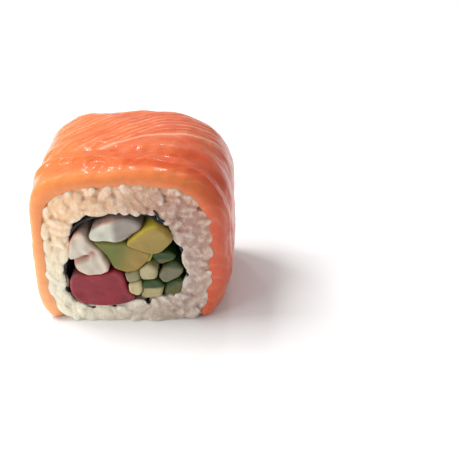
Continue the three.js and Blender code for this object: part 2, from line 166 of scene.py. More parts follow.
class Outline(ABC):
    """A closed outline of the cut face, given by how far it reaches from its centre."""

    centre: tuple[float, float]
    lean: float = 0.0
    tilt: float = 0.0

    @abstractmethod
    def reach(self, angle: Array) -> Array:
        """Distance from the centre at an angle."""

    def at(self, angle: Array) -> Array:
        """Finds the outline's points.

        Args:
            angle: Angles from +X through the top, in radians.

        Returns:
            Their x and z, in millimetres.
        """
        angle = np.asarray(angle, float)
        reach = self.reach(angle)
        x = self.centre[0] + reach * np.cos(angle) * (1 + self.lean * np.sin(angle))
        z = (self.centre[1] + reach * np.sin(angle)) * (1 + self.tilt * x)
        return np.stack([x, z], axis=-1)

    def normal(self, angle: Array) -> Array:
        """Finds which way the outline faces.

        Args:
            angle: Angles, in radians.

        Returns:
            Unit vectors, x and z, that point out.
        """
        step = 1e-3
        way = self.at(np.asarray(angle) + step) - self.at(np.asarray(angle) - step)
        way /= np.linalg.norm(way, axis=-1, keepdims=True)
        return np.stack([way[..., 1], -way[..., 0]], axis=-1)

    def offset(self, angle: Array, distance: Array | float) -> Array:
        """Finds points beside the outline.

        Args:
            angle: Angles, in radians.
            distance: How far outside, in millimetres.

        Returns:
            Their x and z.
        """
        return self.at(angle) + self.normal(angle) * np.asarray(distance)[..., None]

    def even_angles(self, start: float, end: float, count: int) -> Array:
        """Finds angles that are evenly spaced along the outline.

        Args:
            start: The first angle.
            end: The last angle.
            count: How many steps lie between them.

        Returns:
            count + 1 angles.
        """
        fine = np.linspace(start, end, FINE_STEPS + 1)
        steps = np.linalg.norm(np.diff(self.at(fine), axis=0), axis=1)
        run = np.concatenate([[0.0], np.cumsum(steps)])
        return np.interp(np.linspace(0, run[-1], count + 1), run, fine)

    def length(self, start: float, end: float) -> float:
        """Length of the outline between two angles, in millimetres."""
        fine = self.at(np.linspace(start, end, FINE_STEPS + 1))
        return float(np.linalg.norm(np.diff(fine, axis=0), axis=1).sum())

    def depth_inside(self, x: Array, z: Array) -> Array:
        """Measures how far points lie inside the outline, towards its centre.

        Args:
            x: Their x, in millimetres.
            z: Their z.

        Returns:
            The distances, less than 0 outside.
        """
        centre = np.array(self.centre)
        angle = np.arctan2(z - centre[1], x - centre[0])
        edge = np.linalg.norm(self.at(angle) - centre, axis=-1)
        return edge - np.hypot(x - centre[0], z - centre[1])


@dataclass(frozen=True)
class RoundedSquare(Outline):
    """The rice's outline: a rounded square, each corner squarer the higher its power."""

    half_width: float = 18.9
    half_height: float = 17.7
    centre: tuple[float, float] = (0.0, 17.7)
    lean: float = 0.02
    tilt: float = 0.0008
    top_right: float = 2.65
    top_left: float = 4.0
    bottom_left: float = 4.4
    bottom_right: float = 5.0

    def reach(self, angle: Array) -> Array:
        """Works out how far the outline reaches, from a power that changes from corner to corner.

        Args:
            angle: Angles, in radians.

        Returns:
            Distances from the centre, in millimetres.
        """
        across, up = np.cos(angle), np.sin(angle)
        right = smooth(0, 1, (1 + across) / 2)
        top = lerp(self.top_left, self.top_right, right)
        bottom = lerp(self.bottom_left, self.bottom_right, right)
        power = lerp(bottom, top, smooth(0, 1, (1 + up) / 2))
        sides = np.abs(across / self.half_width) ** power + np.abs(up / self.half_height) ** power
        return sides ** (-1 / power)


@dataclass(frozen=True)
class Loop(Outline):
    """The nori's outline: radii at even angles, joined smoothly."""

    centre: tuple[float, float] = (-0.4, 16.1)
    radii: tuple[float, ...] = (
        13.4, 13.2, 14.2, 13.5, 12.8, 13.0, 13.6, 14.0, 13.5,
        13.5, 14.9, 17.0, 14.8, 12.7, 12.2, 13.1, 14.8, 14.8,
    )

    def reach(self, angle: Array) -> Array:
        """Works out how far the outline reaches, on a smooth curve through its radii.

        Args:
            angle: Angles, in radians.

        Returns:
            Distances from the centre, in millimetres.
        """
        radii = np.array(self.radii)
        at = np.mod(angle, 2 * math.pi) / (2 * math.pi) * len(radii)
        index = np.floor(at).astype(int)
        t = at - index
        a, b, c, d = (radii[(index + k) % len(radii)] for k in (-1, 0, 1, 2))
        return b + 0.5 * t * (c - a + t * (2 * a - 5 * b + 4 * c - d + t * (3 * (b - c) + d - a)))


RICE_OUTLINE = RoundedSquare()
NORI_LOOP = Loop()


def side_press(angle: Array) -> Array:
    """How far the salmon presses into the rice on the two sides of the cut face.

    Args:
        angle: Angles round the rice's outline, in radians.

    Returns:
        Millimetres.
    """
    degrees = np.mod(np.degrees(angle), 360)
    places = [0, 25, 45, 118, 136, 150, 205, 219, 228, 236, 312, 322, 360]
    depths = [0.9, 0.7, 0.0, 0.0, 0.7, 1.2, 1.4, 1.3, 0.6, 0.0, 0.0, 0.8, 0.9]
    return np.interp(degrees, places, depths)


class Ripple:
    """Soft unevenness over a surface: a few dozen drawn waves of about one size."""

    WAVES = 28
    SPREAD = (0.7, 1.6)
    PEAK = 1.6

    def __init__(self, size: float, seed: int) -> None:
        """Draws the waves.

        Args:
            size: The usual wavelength, in the units of the places it is read at.
            seed: Seed of the draw.
        """
        rng = np.random.default_rng(seed)
        way = rng.normal(size=(self.WAVES, 3))
        way /= np.linalg.norm(way, axis=1, keepdims=True)
        self.ways = way * (2 * math.pi / (size * rng.uniform(*self.SPREAD, (self.WAVES, 1))))
        self.phases = rng.uniform(0, 2 * math.pi, self.WAVES)

    def at(self, places: Array) -> Array:
        """Height of the ripple, mostly between -1 and 1, at places given one a row."""
        height = np.sin(places @ self.ways.T + self.phases).sum(axis=-1)
        return height / math.sqrt(self.WAVES / 2) / self.PEAK


def ring_faces(rings: int, size: int, returns: bool = False) -> list[tuple[int, ...]]:
    """Joins closed rings of vertices, each to the next.

    Args:
        rings: How many rings there are.
        size: How many vertices each has.
        returns: Whether the last ring is joined to the first.

    Returns:
        The four-sided faces between them.
    """
    faces = []
    for i in range(rings if returns else rings - 1):
        here, there = i * size, (i + 1) % rings * size
        faces += [
            (here + j, here + (j + 1) % size, there + (j + 1) % size, there + j)
            for j in range(size)
        ]
    return faces


def capped(rings: int, size: int) -> list[tuple[int, ...]]:
    """Joins closed rings of vertices, and closes the first and the last with one face each.

    Args:
        rings: How many rings there are.
        size: How many vertices each has.

    Returns:
        All the faces.
    """
    ends = [tuple(range(size)), tuple(range((rings - 1) * size, rings * size))]
    return ring_faces(rings, size) + ends


def new_mesh_object(name: str, points: Array, faces: Sequence[Sequence[int]]) -> bpy.types.Object:
    """Makes a smooth mesh object whose faces point outwards.

    Args:
        name: The object's name.
        points: Its vertices, in metres, in the frame.
        faces: Its faces, as lists of vertex numbers.

    Returns:
        The object, linked to the scene.
    """
    mesh = bpy.data.meshes.new(name)
    mesh.from_pydata([tuple(p) for p in points], [], [tuple(f) for f in faces])
    shell = bmesh.new()
    shell.from_mesh(mesh)
    bmesh.ops.recalc_face_normals(shell, faces=shell.faces)
    shell.to_mesh(mesh)
    shell.free()
    mesh.shade_smooth()
    piece = bpy.data.objects.new(name, mesh)
    bpy.context.scene.collection.objects.link(piece)
    return piece


def vertex_places(mesh: bpy.types.Mesh) -> Array:
    """Reads the vertices of a mesh, one a row.

    Args:
        mesh: The mesh.

    Returns:
        Its vertices, in metres.
    """
    flat = np.empty(len(mesh.vertices) * 3)
    mesh.vertices.foreach_get("co", flat)
    return flat.reshape(-1, 3)


def vertex_facings(mesh: bpy.types.Mesh) -> Array:
    """Reads which way each vertex of a mesh faces, one a row.

    Args:
        mesh: The mesh.

    Returns:
        Unit vectors.
    """
    flat = np.empty(len(mesh.vertices) * 3)
    mesh.vertices.foreach_get("normal", flat)
    return flat.reshape(-1, 3)


def move_vertices(mesh: bpy.types.Mesh, places: Array) -> None:
    """Puts all vertices of a mesh at new places, one a row."""
    mesh.vertices.foreach_set("co", np.ascontiguousarray(places, dtype=np.float64).ravel())
    mesh.update()


def store_number(mesh: bpy.types.Mesh, name: str, values: Array) -> None:
    """Keeps one number for each vertex, for materials to read by name."""
    layer = mesh.attributes.new(name, "FLOAT", "POINT")
    layer.data.foreach_set("value", np.ascontiguousarray(values, dtype=np.float32))


def hollows(mesh: bpy.types.Mesh, rounds: int = 14) -> Array:
    """Measures how far each vertex lies below the surface that its neighbourhood makes on average.

    Args:
        mesh: The mesh.
        rounds: How many times its places are averaged, so how wide the neighbourhood is.

    Returns:
        Millimetres, more than 0 in a hollow and less on a crest.
    """
    count = len(mesh.vertices)
    ends = np.empty(len(mesh.edges) * 2, dtype=np.int64)
    mesh.edges.foreach_get("vertices", ends)
    first, second = ends.reshape(-1, 2).T
    neighbours = np.bincount(first, minlength=count) + np.bincount(second, minlength=count)
    places = vertex_places(mesh)
    even = places
    for _ in range(rounds):
        total = np.stack([
            np.bincount(first, even[second, k], count) + np.bincount(second, even[first, k], count)
            for k in range(3)
        ], axis=-1)
        even = total / neighbours[:, None]
    return ((even - places) * vertex_facings(mesh)).sum(axis=-1) / MM


def store_uv(mesh: bpy.types.Mesh, name: str, pairs: Array) -> None:
    """Keeps a UV map from one pair of numbers for each vertex.

    Args:
        mesh: The mesh.
        name: The UV map's name.
        pairs: The two numbers of each vertex.
    """
    layer = mesh.uv_layers.new(name=name)
    corners = np.empty(len(mesh.loops), dtype=np.int32)
    mesh.loops.foreach_get("vertex_index", corners)
    layer.data.foreach_set("uv", np.ascontiguousarray(pairs[corners], dtype=np.float32).ravel())


def baked(piece: bpy.types.Object, name: str) -> bpy.types.Object:
    """Turns an object and its modifiers into a plain mesh object, and removes the first one.

    Args:
        piece: The object with its modifiers.
        name: The new object's name.

    Returns:
        The new object, with no modifiers.
    """
    graph = bpy.context.evaluated_depsgraph_get()
    mesh = bpy.data.meshes.new_from_object(piece.evaluated_get(graph))
    result = bpy.data.objects.new(name, mesh)
    bpy.context.scene.collection.objects.link(result)
    bpy.data.objects.remove(piece)
    mesh.name = name
    mesh.shade_smooth()
    return result


def fused(piece: bpy.types.Object, name: str, voxel: float, smoothing: int) -> bpy.types.Object:
    """Fuses what an object's mesh holds into one even skin, and softens it.

    Args:
        piece: The object, whose closed shells may overlap.
        name: The new object's name.
        voxel: Size of the skin's faces, in millimetres.
        smoothing: Rounds of smoothing.

    Returns:
        The new object.
    """
    skin = piece.modifiers.new("skin", "REMESH")
    skin.mode = "VOXEL"
    skin.voxel_size = voxel * MM
    soften = piece.modifiers.new("soften", "SMOOTH")
    soften.factor = 0.5
    soften.iterations = smoothing
    result = baked(piece, name)
    drop_scraps(result.data)
    return result


def drop_scraps(mesh: bpy.types.Mesh) -> None:
    """Removes all but the largest of a mesh's separate shells.

    Args:
        mesh: The mesh, changed in place.
    """
    shell = bmesh.new()
    shell.from_mesh(mesh)
    left = set(shell.verts)
    islands = []
    while left:
        edge = [left.pop()]
        island = list(edge)
        while edge:
            near = {link.other_vert(vert) for vert in edge for link in vert.link_edges} & left
            left -= near
            edge = list(near)
            island += edge
        islands.append(island)
    scraps = sorted(islands, key=len)[:-1]
    if scraps:
        bmesh.ops.delete(shell, geom=[vert for island in scraps for vert in island], context="VERTS")
        shell.to_mesh(mesh)
    shell.free()


class NodeBench:
    """Adds nodes to a tree, laid out in a grid, and links them."""

    COLUMNS = 8
    CELL = (180, 260)

    def __init__(self, tree: bpy.types.NodeTree) -> None:
        """Takes the tree to work on."""
        self.tree = tree
        self.count = 0

    def add(self, kind: str, inputs: dict | None = None, **settings: object) -> bpy.types.Node:
        """Adds a node.

        Args:
            kind: The node's type.
            inputs: Values or output sockets for its inputs, by name or number.
            settings: Its own settings, by name.

        Returns:
            The node.
        """
        node = self.tree.nodes.new(kind)
        row, column = divmod(self.count, self.COLUMNS)
        node.location = (column * self.CELL[0], -row * self.CELL[1])
        self.count += 1
        for key, value in settings.items():
            setattr(node, key, value)
        for key, value in (inputs or {}).items():
            self.feed(node.inputs[key], value)
        return node

    def feed(self, socket: Socket, value: object) -> None:
        """Sets an input, or links it where the value is an output.

        Args:
            socket: The input.
            value: A value, or another node's output.
        """
        if isinstance(value, Socket):
            self.tree.links.new(value, socket)
        else:
            socket.default_value = value

    def maths(self, operation: str, *values: object, clamp: bool = False) -> Socket:
        """Adds a Math node and gives its result."""
        node = self.add("ShaderNodeMath", dict(enumerate(values)), operation=operation, use_clamp=clamp)
        return node.outputs[0]

    def product(self, first: object, second: object) -> Socket:
        """Multiplies two values."""
        return self.maths("MULTIPLY", first, second)

    def bell(self, away: object, width: object) -> Socket:
        """Makes a mask that is 1 where a distance is 0, and fades out over a width.

        Args:
            away: The distance.
            width: How far off the mask has fallen to about a third.

        Returns:
            The mask.
        """
        share = self.maths("DIVIDE", away, width)
        square = self.product(share, share)
        return self.maths("POWER", math.e, self.product(square, -1.0))

    def attribute(self, name: str) -> Socket:
        """Reads a number that the piece keeps for each vertex."""
        return self.add("ShaderNodeAttribute", attribute_name=name).outputs["Fac"]

    def span(
        self, value: object, low: float, high: float, start: float = 0.0, end: float = 1.0,
    ) -> Socket:
        """Maps a value smoothly from one span to another.

        Args:
            value: The value or output to map.
            low: Where the first span starts.
            high: Where it ends.
            start: Where the second span starts.
            end: Where it ends.

        Returns:
            The mapped value.
        """
        node = self.add(
            "ShaderNodeMapRange",
            {"Value": value, "From Min": low, "From Max": high, "To Min": start, "To Max": end},
            interpolation_type="SMOOTHSTEP",
        )
        return node.outputs["Result"]

    def blend(self, share: object, first: object, second: object) -> Socket:
        """Mixes two colours by a share.

        Args:
            share: The share of the second colour.
            first: The first colour.
            second: The second colour.

        Returns:
            The mixed colour.
        """
        node = self.add("ShaderNodeMix", data_type="RGBA")
        self.feed(node.inputs["Factor"], share)
        self.feed(node.inputs[6], first)
        self.feed(node.inputs[7], second)
        return node.outputs[2]


class Effect(Enum):
    """The effects that several finishes share, each a shader node group."""

    CLOUDS = "soft_clouds"
    RELIEF = "moist_relief"
    LINES = "thin_lines"


class EffectShelf:
    """Builds each shared effect once, and places it in materials."""

    def __init__(self) -> None:
        """Starts with nothing built."""
        self.groups: dict[Effect, bpy.types.NodeTree] = {}

    def place(self, bench: NodeBench, effect: Effect, **inputs: object) -> Socket:
        """Places an effect in a material.

        Args:
            bench: The material's bench.
            effect: Which effect.
            inputs: Its inputs, with underscores for spaces.

        Returns:
            The effect's one output.
        """
        if effect not in self.groups:
            build = {
                Effect.CLOUDS: self._clouds, Effect.RELIEF: self._relief, Effect.LINES: self._lines,
            }
            self.groups[effect] = build[effect](effect.value)
        node = bench.add("ShaderNodeGroup", node_tree=self.groups[effect])
        for key, value in inputs.items():
            bench.feed(node.inputs[key.replace("_", " ").capitalize()], value)
        return node.outputs[0]

    @staticmethod
    def _group(
        name: str, numbers: dict[str, float], result: str,
    ) -> tuple[NodeBench, bpy.types.Node, bpy.types.Node]:
        """Makes an empty group.

        Args:
            name: Its name.
            numbers: Its number inputs, with their usual values.
            result: Its output's name.

        Returns:
            A bench on it, its input node and its output node.
        """
        tree = bpy.data.node_groups.new(name, "ShaderNodeTree")
        tree.interface.new_socket("Place", in_out="INPUT", socket_type="NodeSocketVector")
        for label, usual in numbers.items():
            socket = tree.interface.new_socket(label, in_out="INPUT", socket_type="NodeSocketFloat")
            socket.default_value = usual
        tree.interface.new_socket(result, in_out="OUTPUT", socket_type="NodeSocketFloat")
        bench = NodeBench(tree)
        return bench, bench.add("NodeGroupInput"), bench.add("NodeGroupOutput")

    def _clouds(self, name: str) -> bpy.types.NodeTree:
        """Builds soft clouds, as a mask between 0 and 1.

        Args:
            name: The group's name.

        Returns:
            The group.
        """
        bench, given, out = self._group(name, {"Size": 2.0, "Low": 0.4, "High": 0.6}, "Mask")
        scale = bench.maths("DIVIDE", 1 / MM, given.outputs["Size"])
        clouds = bench.add("ShaderNodeTexNoise", {
            "Vector": given.outputs["Place"], "Scale": scale, "Detail": 3.0, "Roughness": 0.55,
        })
        spread = bench.add("ShaderNodeMapRange", {
            "Value": clouds.outputs[0],
            "From Min": given.outputs["Low"],
            "From Max": given.outputs["High"],
        }, interpolation_type="SMOOTHSTEP")
        bench.feed(out.inputs[0], spread.outputs[0])
        return bench.tree

    def _relief(self, name: str) -> bpy.types.NodeTree:
        """Builds a moist surface's relief, as a height from coarse lumps and fine grain.

        Args:
            name: The group's name.

        Returns:
            The group.
        """
        bench, given, out = self._group(name, {"Lumps": 1.6, "Grain": 0.35, "Share": 0.3}, "Height")
        layers = []
        for label in ("Lumps", "Grain"):
            scale = bench.maths("DIVIDE", 1 / MM, given.outputs[label])
            layers.append(bench.add("ShaderNodeTexNoise", {
                "Vector": given.outputs["Place"], "Scale": scale, "Detail": 2.0, "Roughness": 0.5,
            }).outputs[0])
        fine = bench.product(layers[1], given.outputs["Share"])
        bench.feed(out.inputs[0], bench.maths("ADD", layers[0], fine))
        return bench.tree

    def _lines(self, name: str) -> bpy.types.NodeTree:
        """Builds thin lines across the place's X, a spacing apart, as a mask between 0 and 1.

        Args:
            name: The group's name.

        Returns:
            The group.
        """
        bench, given, out = self._group(name, {"Spacing": 2.0, "Width": 0.3}, "Mask")
        split = bench.add("ShaderNodeSeparateXYZ", {0: given.outputs["Place"]})
        turns = bench.maths("DIVIDE", split.outputs[0], given.outputs["Spacing"])
        near = bench.maths("PINGPONG", turns, 0.5)
        away = bench.product(near, given.outputs["Spacing"])
        bench.feed(out.inputs[0], bench.bell(away, given.outputs["Width"]))
        return bench.tree


SHELF = EffectShelf()


@dataclass(frozen=True)
class Finish(ABC):
    """The finish of one kind of food: its shader's constants, its colours and its relief."""

    name: str = "finish"
    slot: str = "rice"
    roughness: float = 0.4
    specular: float = 0.5
    coat: float = 0.0
    coat_roughness: float = 0.15
    depth: float = 0.0
    glow: tuple[float, float, float] = (1.0, 0.5, 0.3)
    glow_reach: float = 1.0
    relief: float = 0.15

    @abstractmethod
    def colour(self, bench: NodeBench, place: Socket) -> Socket:
        """Adds the colour's nodes and gives their result."""

    @abstractmethod
    def height(self, bench: NodeBench, place: Socket) -> Socket:
        """Adds the relief's nodes and gives the height."""

    def material(self) -> bpy.types.Material:
        """Builds the material.

        Returns:
            The material, on Object coordinates and the piece's own attributes.
        """
        material = bpy.data.materials.new(self.name)
        material.use_nodes = True
        material.node_tree.nodes.clear()
        bench = NodeBench(material.node_tree)
        place = bench.add("ShaderNodeTexCoord").outputs["Object"]
        shader = bench.add("ShaderNodeBsdfPrincipled", {
            "Roughness": self.roughness,
            "Specular IOR Level": self.specular,
            "Coat Weight": self.coat,
            "Coat Roughness": self.coat_roughness,
            "Subsurface Weight": self.depth,
            "Subsurface Radius": self.glow,
            "Subsurface Scale": self.glow_reach * MM,
        })
        bench.feed(shader.inputs["Base Color"], self.colour(bench, place))
        bump = bench.add("ShaderNodeBump", {
            "Height": self.height(bench, place), "Distance": self.relief * MM, "Strength": 1.0,
        })
        bench.feed(shader.inputs["Normal"], bump.outputs[0])
        out = bench.add("ShaderNodeOutputMaterial")
        bench.feed(out.inputs["Surface"], shader.outputs[0])
        return material


@dataclass(frozen=True)
class SalmonFinish(Finish):
    """Wet raw salmon with pale lines of fat, paler on the left of its wrap (partly painted light) and
    redder towards the right (partly painted shade).
    """

    name: str = "salmon_flesh"
    slot: str = "salmon"
    roughness: float = 0.42
    specular: float = 0.45
    coat: float = 0.45
    coat_roughness: float = 0.15
    depth: float = 0.35
    glow: tuple[float, float, float] = (1.0, 0.35, 0.15)
    glow_reach: float = 1.6
    relief: float = 0.2
    fatty: bool = False
    # Tones along the wrap: the flesh's own, made paler on the left by painted light and deeper red on
    # the right by painted shade.
    along_wrap: tuple[tuple[float, Colour], ...] = (
        (0.0, tint(236, 154, 94)), (0.06, tint(242, 182, 128)), (0.14, tint(238, 160, 96)),
        (0.3, tint(228, 120, 46)), (0.5, tint(210, 88, 32)), (0.66, tint(210, 74, 24)),
        (1.0, tint(204, 74, 28)),
    )
    pale: Colour = tint(228, 128, 62)
    deep: Colour = tint(196, 62, 22)
    cloud_share: float = 0.35
    # Painted light: the flesh is painted paler near both cuts, on the left and the top of the wrap.
    cut_light: Colour = tint(244, 160, 92)
    cut_light_share: float = 0.5
    cut_light_until: tuple[float, float] = (0.55, 0.78)
    cut_light_reach: tuple[float, float] = (4.5, 0.5)
    fat_tone: Colour = tint(242, 178, 142)
    fat_wobble: float = 2.0
    fat_wobble_scale: float = 160.0
    bold_width: float = 0.42
    bold_share: float = 0.66
    thin_spacing: float = 1.9
    thin_width: float = 0.26
    thin_share: float = 0.55
    thin_from: tuple[float, float] = (0.4, 2.0)
    wide_spacing: float = 5.1
    wide_width: float = 1.3
    wide_share: float = 0.14
    lean_share: float = 0.12
    fat_rise: float = 0.1

    def colour(self, bench: NodeBench, place: Socket) -> Socket:
        """Adds the flesh's colours along the wrap, its clouds, the painted light near the cuts and its
        lines of fat.

        Args:
            bench: The material's bench.
            place: Object coordinates.

        Returns:
            The colour.
        """
        wrap = bench.add("ShaderNodeUVMap", uv_map="wrap").outputs[0]
        split = bench.add("ShaderNodeSeparateXYZ", {0: wrap})
        share = bench.maths("DIVIDE", split.outputs[0], WRAP_LENGTH)
        ramp = bench.add("ShaderNodeValToRGB", {"Fac": share})
        stops = ramp.color_ramp.elements
        stops[0].position, stops[0].color = self.along_wrap[0]
        stops[1].position, stops[1].color = self.along_wrap[-1]
        for position, colour in self.along_wrap[1:-1]:
            stops.new(position).color = colour
        pale = SHELF.place(bench, Effect.CLOUDS, place=place, size=7.0, low=0.42, high=0.72)
        flesh = bench.blend(bench.product(pale, self.cloud_share), ramp.outputs[0], self.pale)
        deep = SHELF.place(bench, Effect.CLOUDS, place=place, size=4.0, low=0.5, high=0.8)
        flesh = bench.blend(bench.product(deep, self.cloud_share), flesh, self.deep)
        # Painted light: paler near the cuts, fading out towards the right of the wrap.
        from_middle = bench.maths("ABSOLUTE", split.outputs[1])
        cut_light = bench.span(from_middle, *(HALF - reach for reach in self.cut_light_reach))
        on_left = bench.span(share, *self.cut_light_until, self.cut_light_share, 0.0)
        flesh = bench.blend(bench.product(cut_light, on_left), flesh, self.cut_light)
        return bench.blend(self.fat(bench, place), flesh, self.fat_tone)

    def fat(self, bench: NodeBench, place: Socket) -> Socket:
        """Adds the lines of fat: one bold line, thin ones behind it, and wide faint ones.

        Args:
            bench: The material's bench.
            place: Object coordinates.

        Returns:
            Their mask.
        """
        fat = bench.add("ShaderNodeUVMap", uv_map="fat").outputs[0]
        wobble = bench.add("ShaderNodeTexNoise", {
            "Vector": place, "Scale": self.fat_wobble_scale, "Detail": 2.0,
        })
        shift = bench.product(bench.maths("SUBTRACT", wobble.outputs[0], 0.5), self.fat_wobble)
        split = bench.add("ShaderNodeSeparateXYZ", {0: fat})
        family = bench.add("ShaderNodeCombineXYZ", {0: bench.maths("ADD", split.outputs[1], shift)})
        lines = SHELF.place(
            bench, Effect.LINES, place=family.outputs[0],
            spacing=self.thin_spacing, width=self.thin_width,
        )
        patchy = SHELF.place(bench, Effect.CLOUDS, place=place, size=5.0, low=0.35, high=0.62)
        thin = bench.product(lines, patchy)
        if not self.fatty:
            return bench.product(thin, self.lean_share)
        main = bench.maths("ADD", split.outputs[0], bench.product(shift, 0.5))
        thin = bench.product(thin, bench.span(main, *self.thin_from))
        bold = bench.bell(main, self.bold_width)
        wide = SHELF.place(
            bench, Effect.LINES, place=family.outputs[0],
            spacing=self.wide_spacing, width=self.wide_width,
        )
        fine = bench.maths(
            "ADD", bench.product(thin, self.thin_share), bench.product(wide, self.wide_share),
        )
        return bench.maths("ADD", bench.product(bold, self.bold_share), fine, clamp=True)

    def height(self, bench: NodeBench, place: Socket) -> Socket:
        """Adds the wet flesh's soft lumps, with its fat a little proud."""
        lumps = SHELF.place(bench, Effect.RELIEF, place=place, lumps=2.4, grain=0.5, share=0.42)
        return bench.maths("ADD", lumps, bench.product(self.fat(bench, place), self.fat_rise))


@dataclass(frozen=True)
class RiceFinish(Finish):
    """Moist cooked rice, painted lighter and warmer towards its upper left and darker towards its
    right, as painted light and shade.
    """

    name: str = "cooked_rice"
    slot: str = "rice"
    roughness: float = 0.38
    specular: float = 0.5
    coat: float = 0.2
    coat_roughness: float = 0.2
    depth: float = 0.6
    glow: tuple[float, float, float] = (1.0, 0.75, 0.55)
    glow_reach: float = 1.6
    relief: float = 0.22
    # Painted light and shade across the rice: lighter and warmer up on the left, darker and pinker to
    # the right.
    across: tuple[float, float] = (-19.0, 17.0)
    up: tuple[float, float] = (9.0, 32.0)
    low_left: Colour = tint(240, 234, 208)
    low_right: Colour = tint(176, 152, 140)
    high_left: Colour = tint(246, 204, 158)
    high_right: Colour = tint(164, 120, 108)
    # Painted light bounced from the salmon onto the rice near it.
    salmon_bounce_tone: Colour = tint(238, 166, 112)
    salmon_bounce_share: float = 0.3
    cloud: Colour = tint(250, 240, 224)
    cloud_share: float = 0.35
    # Painted shade in the hollows between grains, and painted highlights on their crests.
    hollow: Colour = tint(178, 128, 100)
    hollow_shade_share: float = 0.38
    hollow_shade_depth: float = 0.24
    crest_highlight: Colour = tint(252, 246, 236)
    crest_highlight_share: float = 0.4
    crest_highlight_rise: tuple[float, float] = (0.02, 0.17)

    def colour(self, bench: NodeBench, place: Socket) -> Socket:
        """Adds the rice's cream with painted light and shade: warmer up on the left, greyer and darker
        down on the right.

        Args:
            bench: The material's bench.
            place: Object coordinates.

        Returns:
            The colour.
        """
        split = bench.add("ShaderNodeSeparateXYZ", {0: place})
        across = bench.span(split.outputs[0], *(edge * MM for edge in self.across))
        up = bench.span(split.outputs[2], *(edge * MM for edge in self.up))
        low = bench.blend(across, self.low_left, self.low_right)
        high = bench.blend(across, self.high_left, self.high_right)
        base = bench.blend(up, low, high)
        # Painted light bounced from the salmon, where the rice lies near it.
        salmon_bounce = bench.product(bench.attribute("salmon_bounce"), self.salmon_bounce_share)
        base = bench.blend(salmon_bounce, base, self.salmon_bounce_tone)
        clouds = SHELF.place(bench, Effect.CLOUDS, place=place, size=1.6, low=0.42, high=0.72)
        base = bench.blend(bench.product(clouds, self.cloud_share), base, self.cloud)
        # Painted shade: browner in the hollows between grains.
        hollow = bench.attribute("hollow")
        deep = bench.product(bench.span(hollow, 0.0, self.hollow_shade_depth), self.hollow_shade_share)
        base = bench.blend(deep, base, self.hollow)
        # Painted highlight: near-white on the crests.
        proud = bench.span(hollow, *(-rise for rise in self.crest_highlight_rise))
        return bench.blend(bench.product(proud, self.crest_highlight_share), base, self.crest_highlight)

    def height(self, bench: NodeBench, place: Socket) -> Socket:
        """Adds the fine creases of cooked grains."""
        return SHELF.place(bench, Effect.RELIEF, place=place, lumps=0.9, grain=0.4, share=0.5)


@dataclass(frozen=True)
class NoriFinish(Finish):
    """Damp dark seaweed."""

    name: str = "nori_sheet"
    slot: str = "nori"
    roughness: float = 0.5
    relief: float = 0.2

    def colour(self, bench: NodeBench, place: Socket) -> Socket:
        """Adds the near-black of the sheet, greenish and bluish in patches."""
        clouds = SHELF.place(bench, Effect.CLOUDS, place=place, size=1.2, low=0.4, high=0.7)
        return bench.blend(clouds, tint(26, 27, 30), tint(46, 48, 44))

    def height(self, bench: NodeBench, place: Socket) -> Socket:
        """Adds the sheet's pressed fibres."""
        return SHELF.place(bench, Effect.RELIEF, place=place, lumps=0.8, grain=0.25, share=0.6)


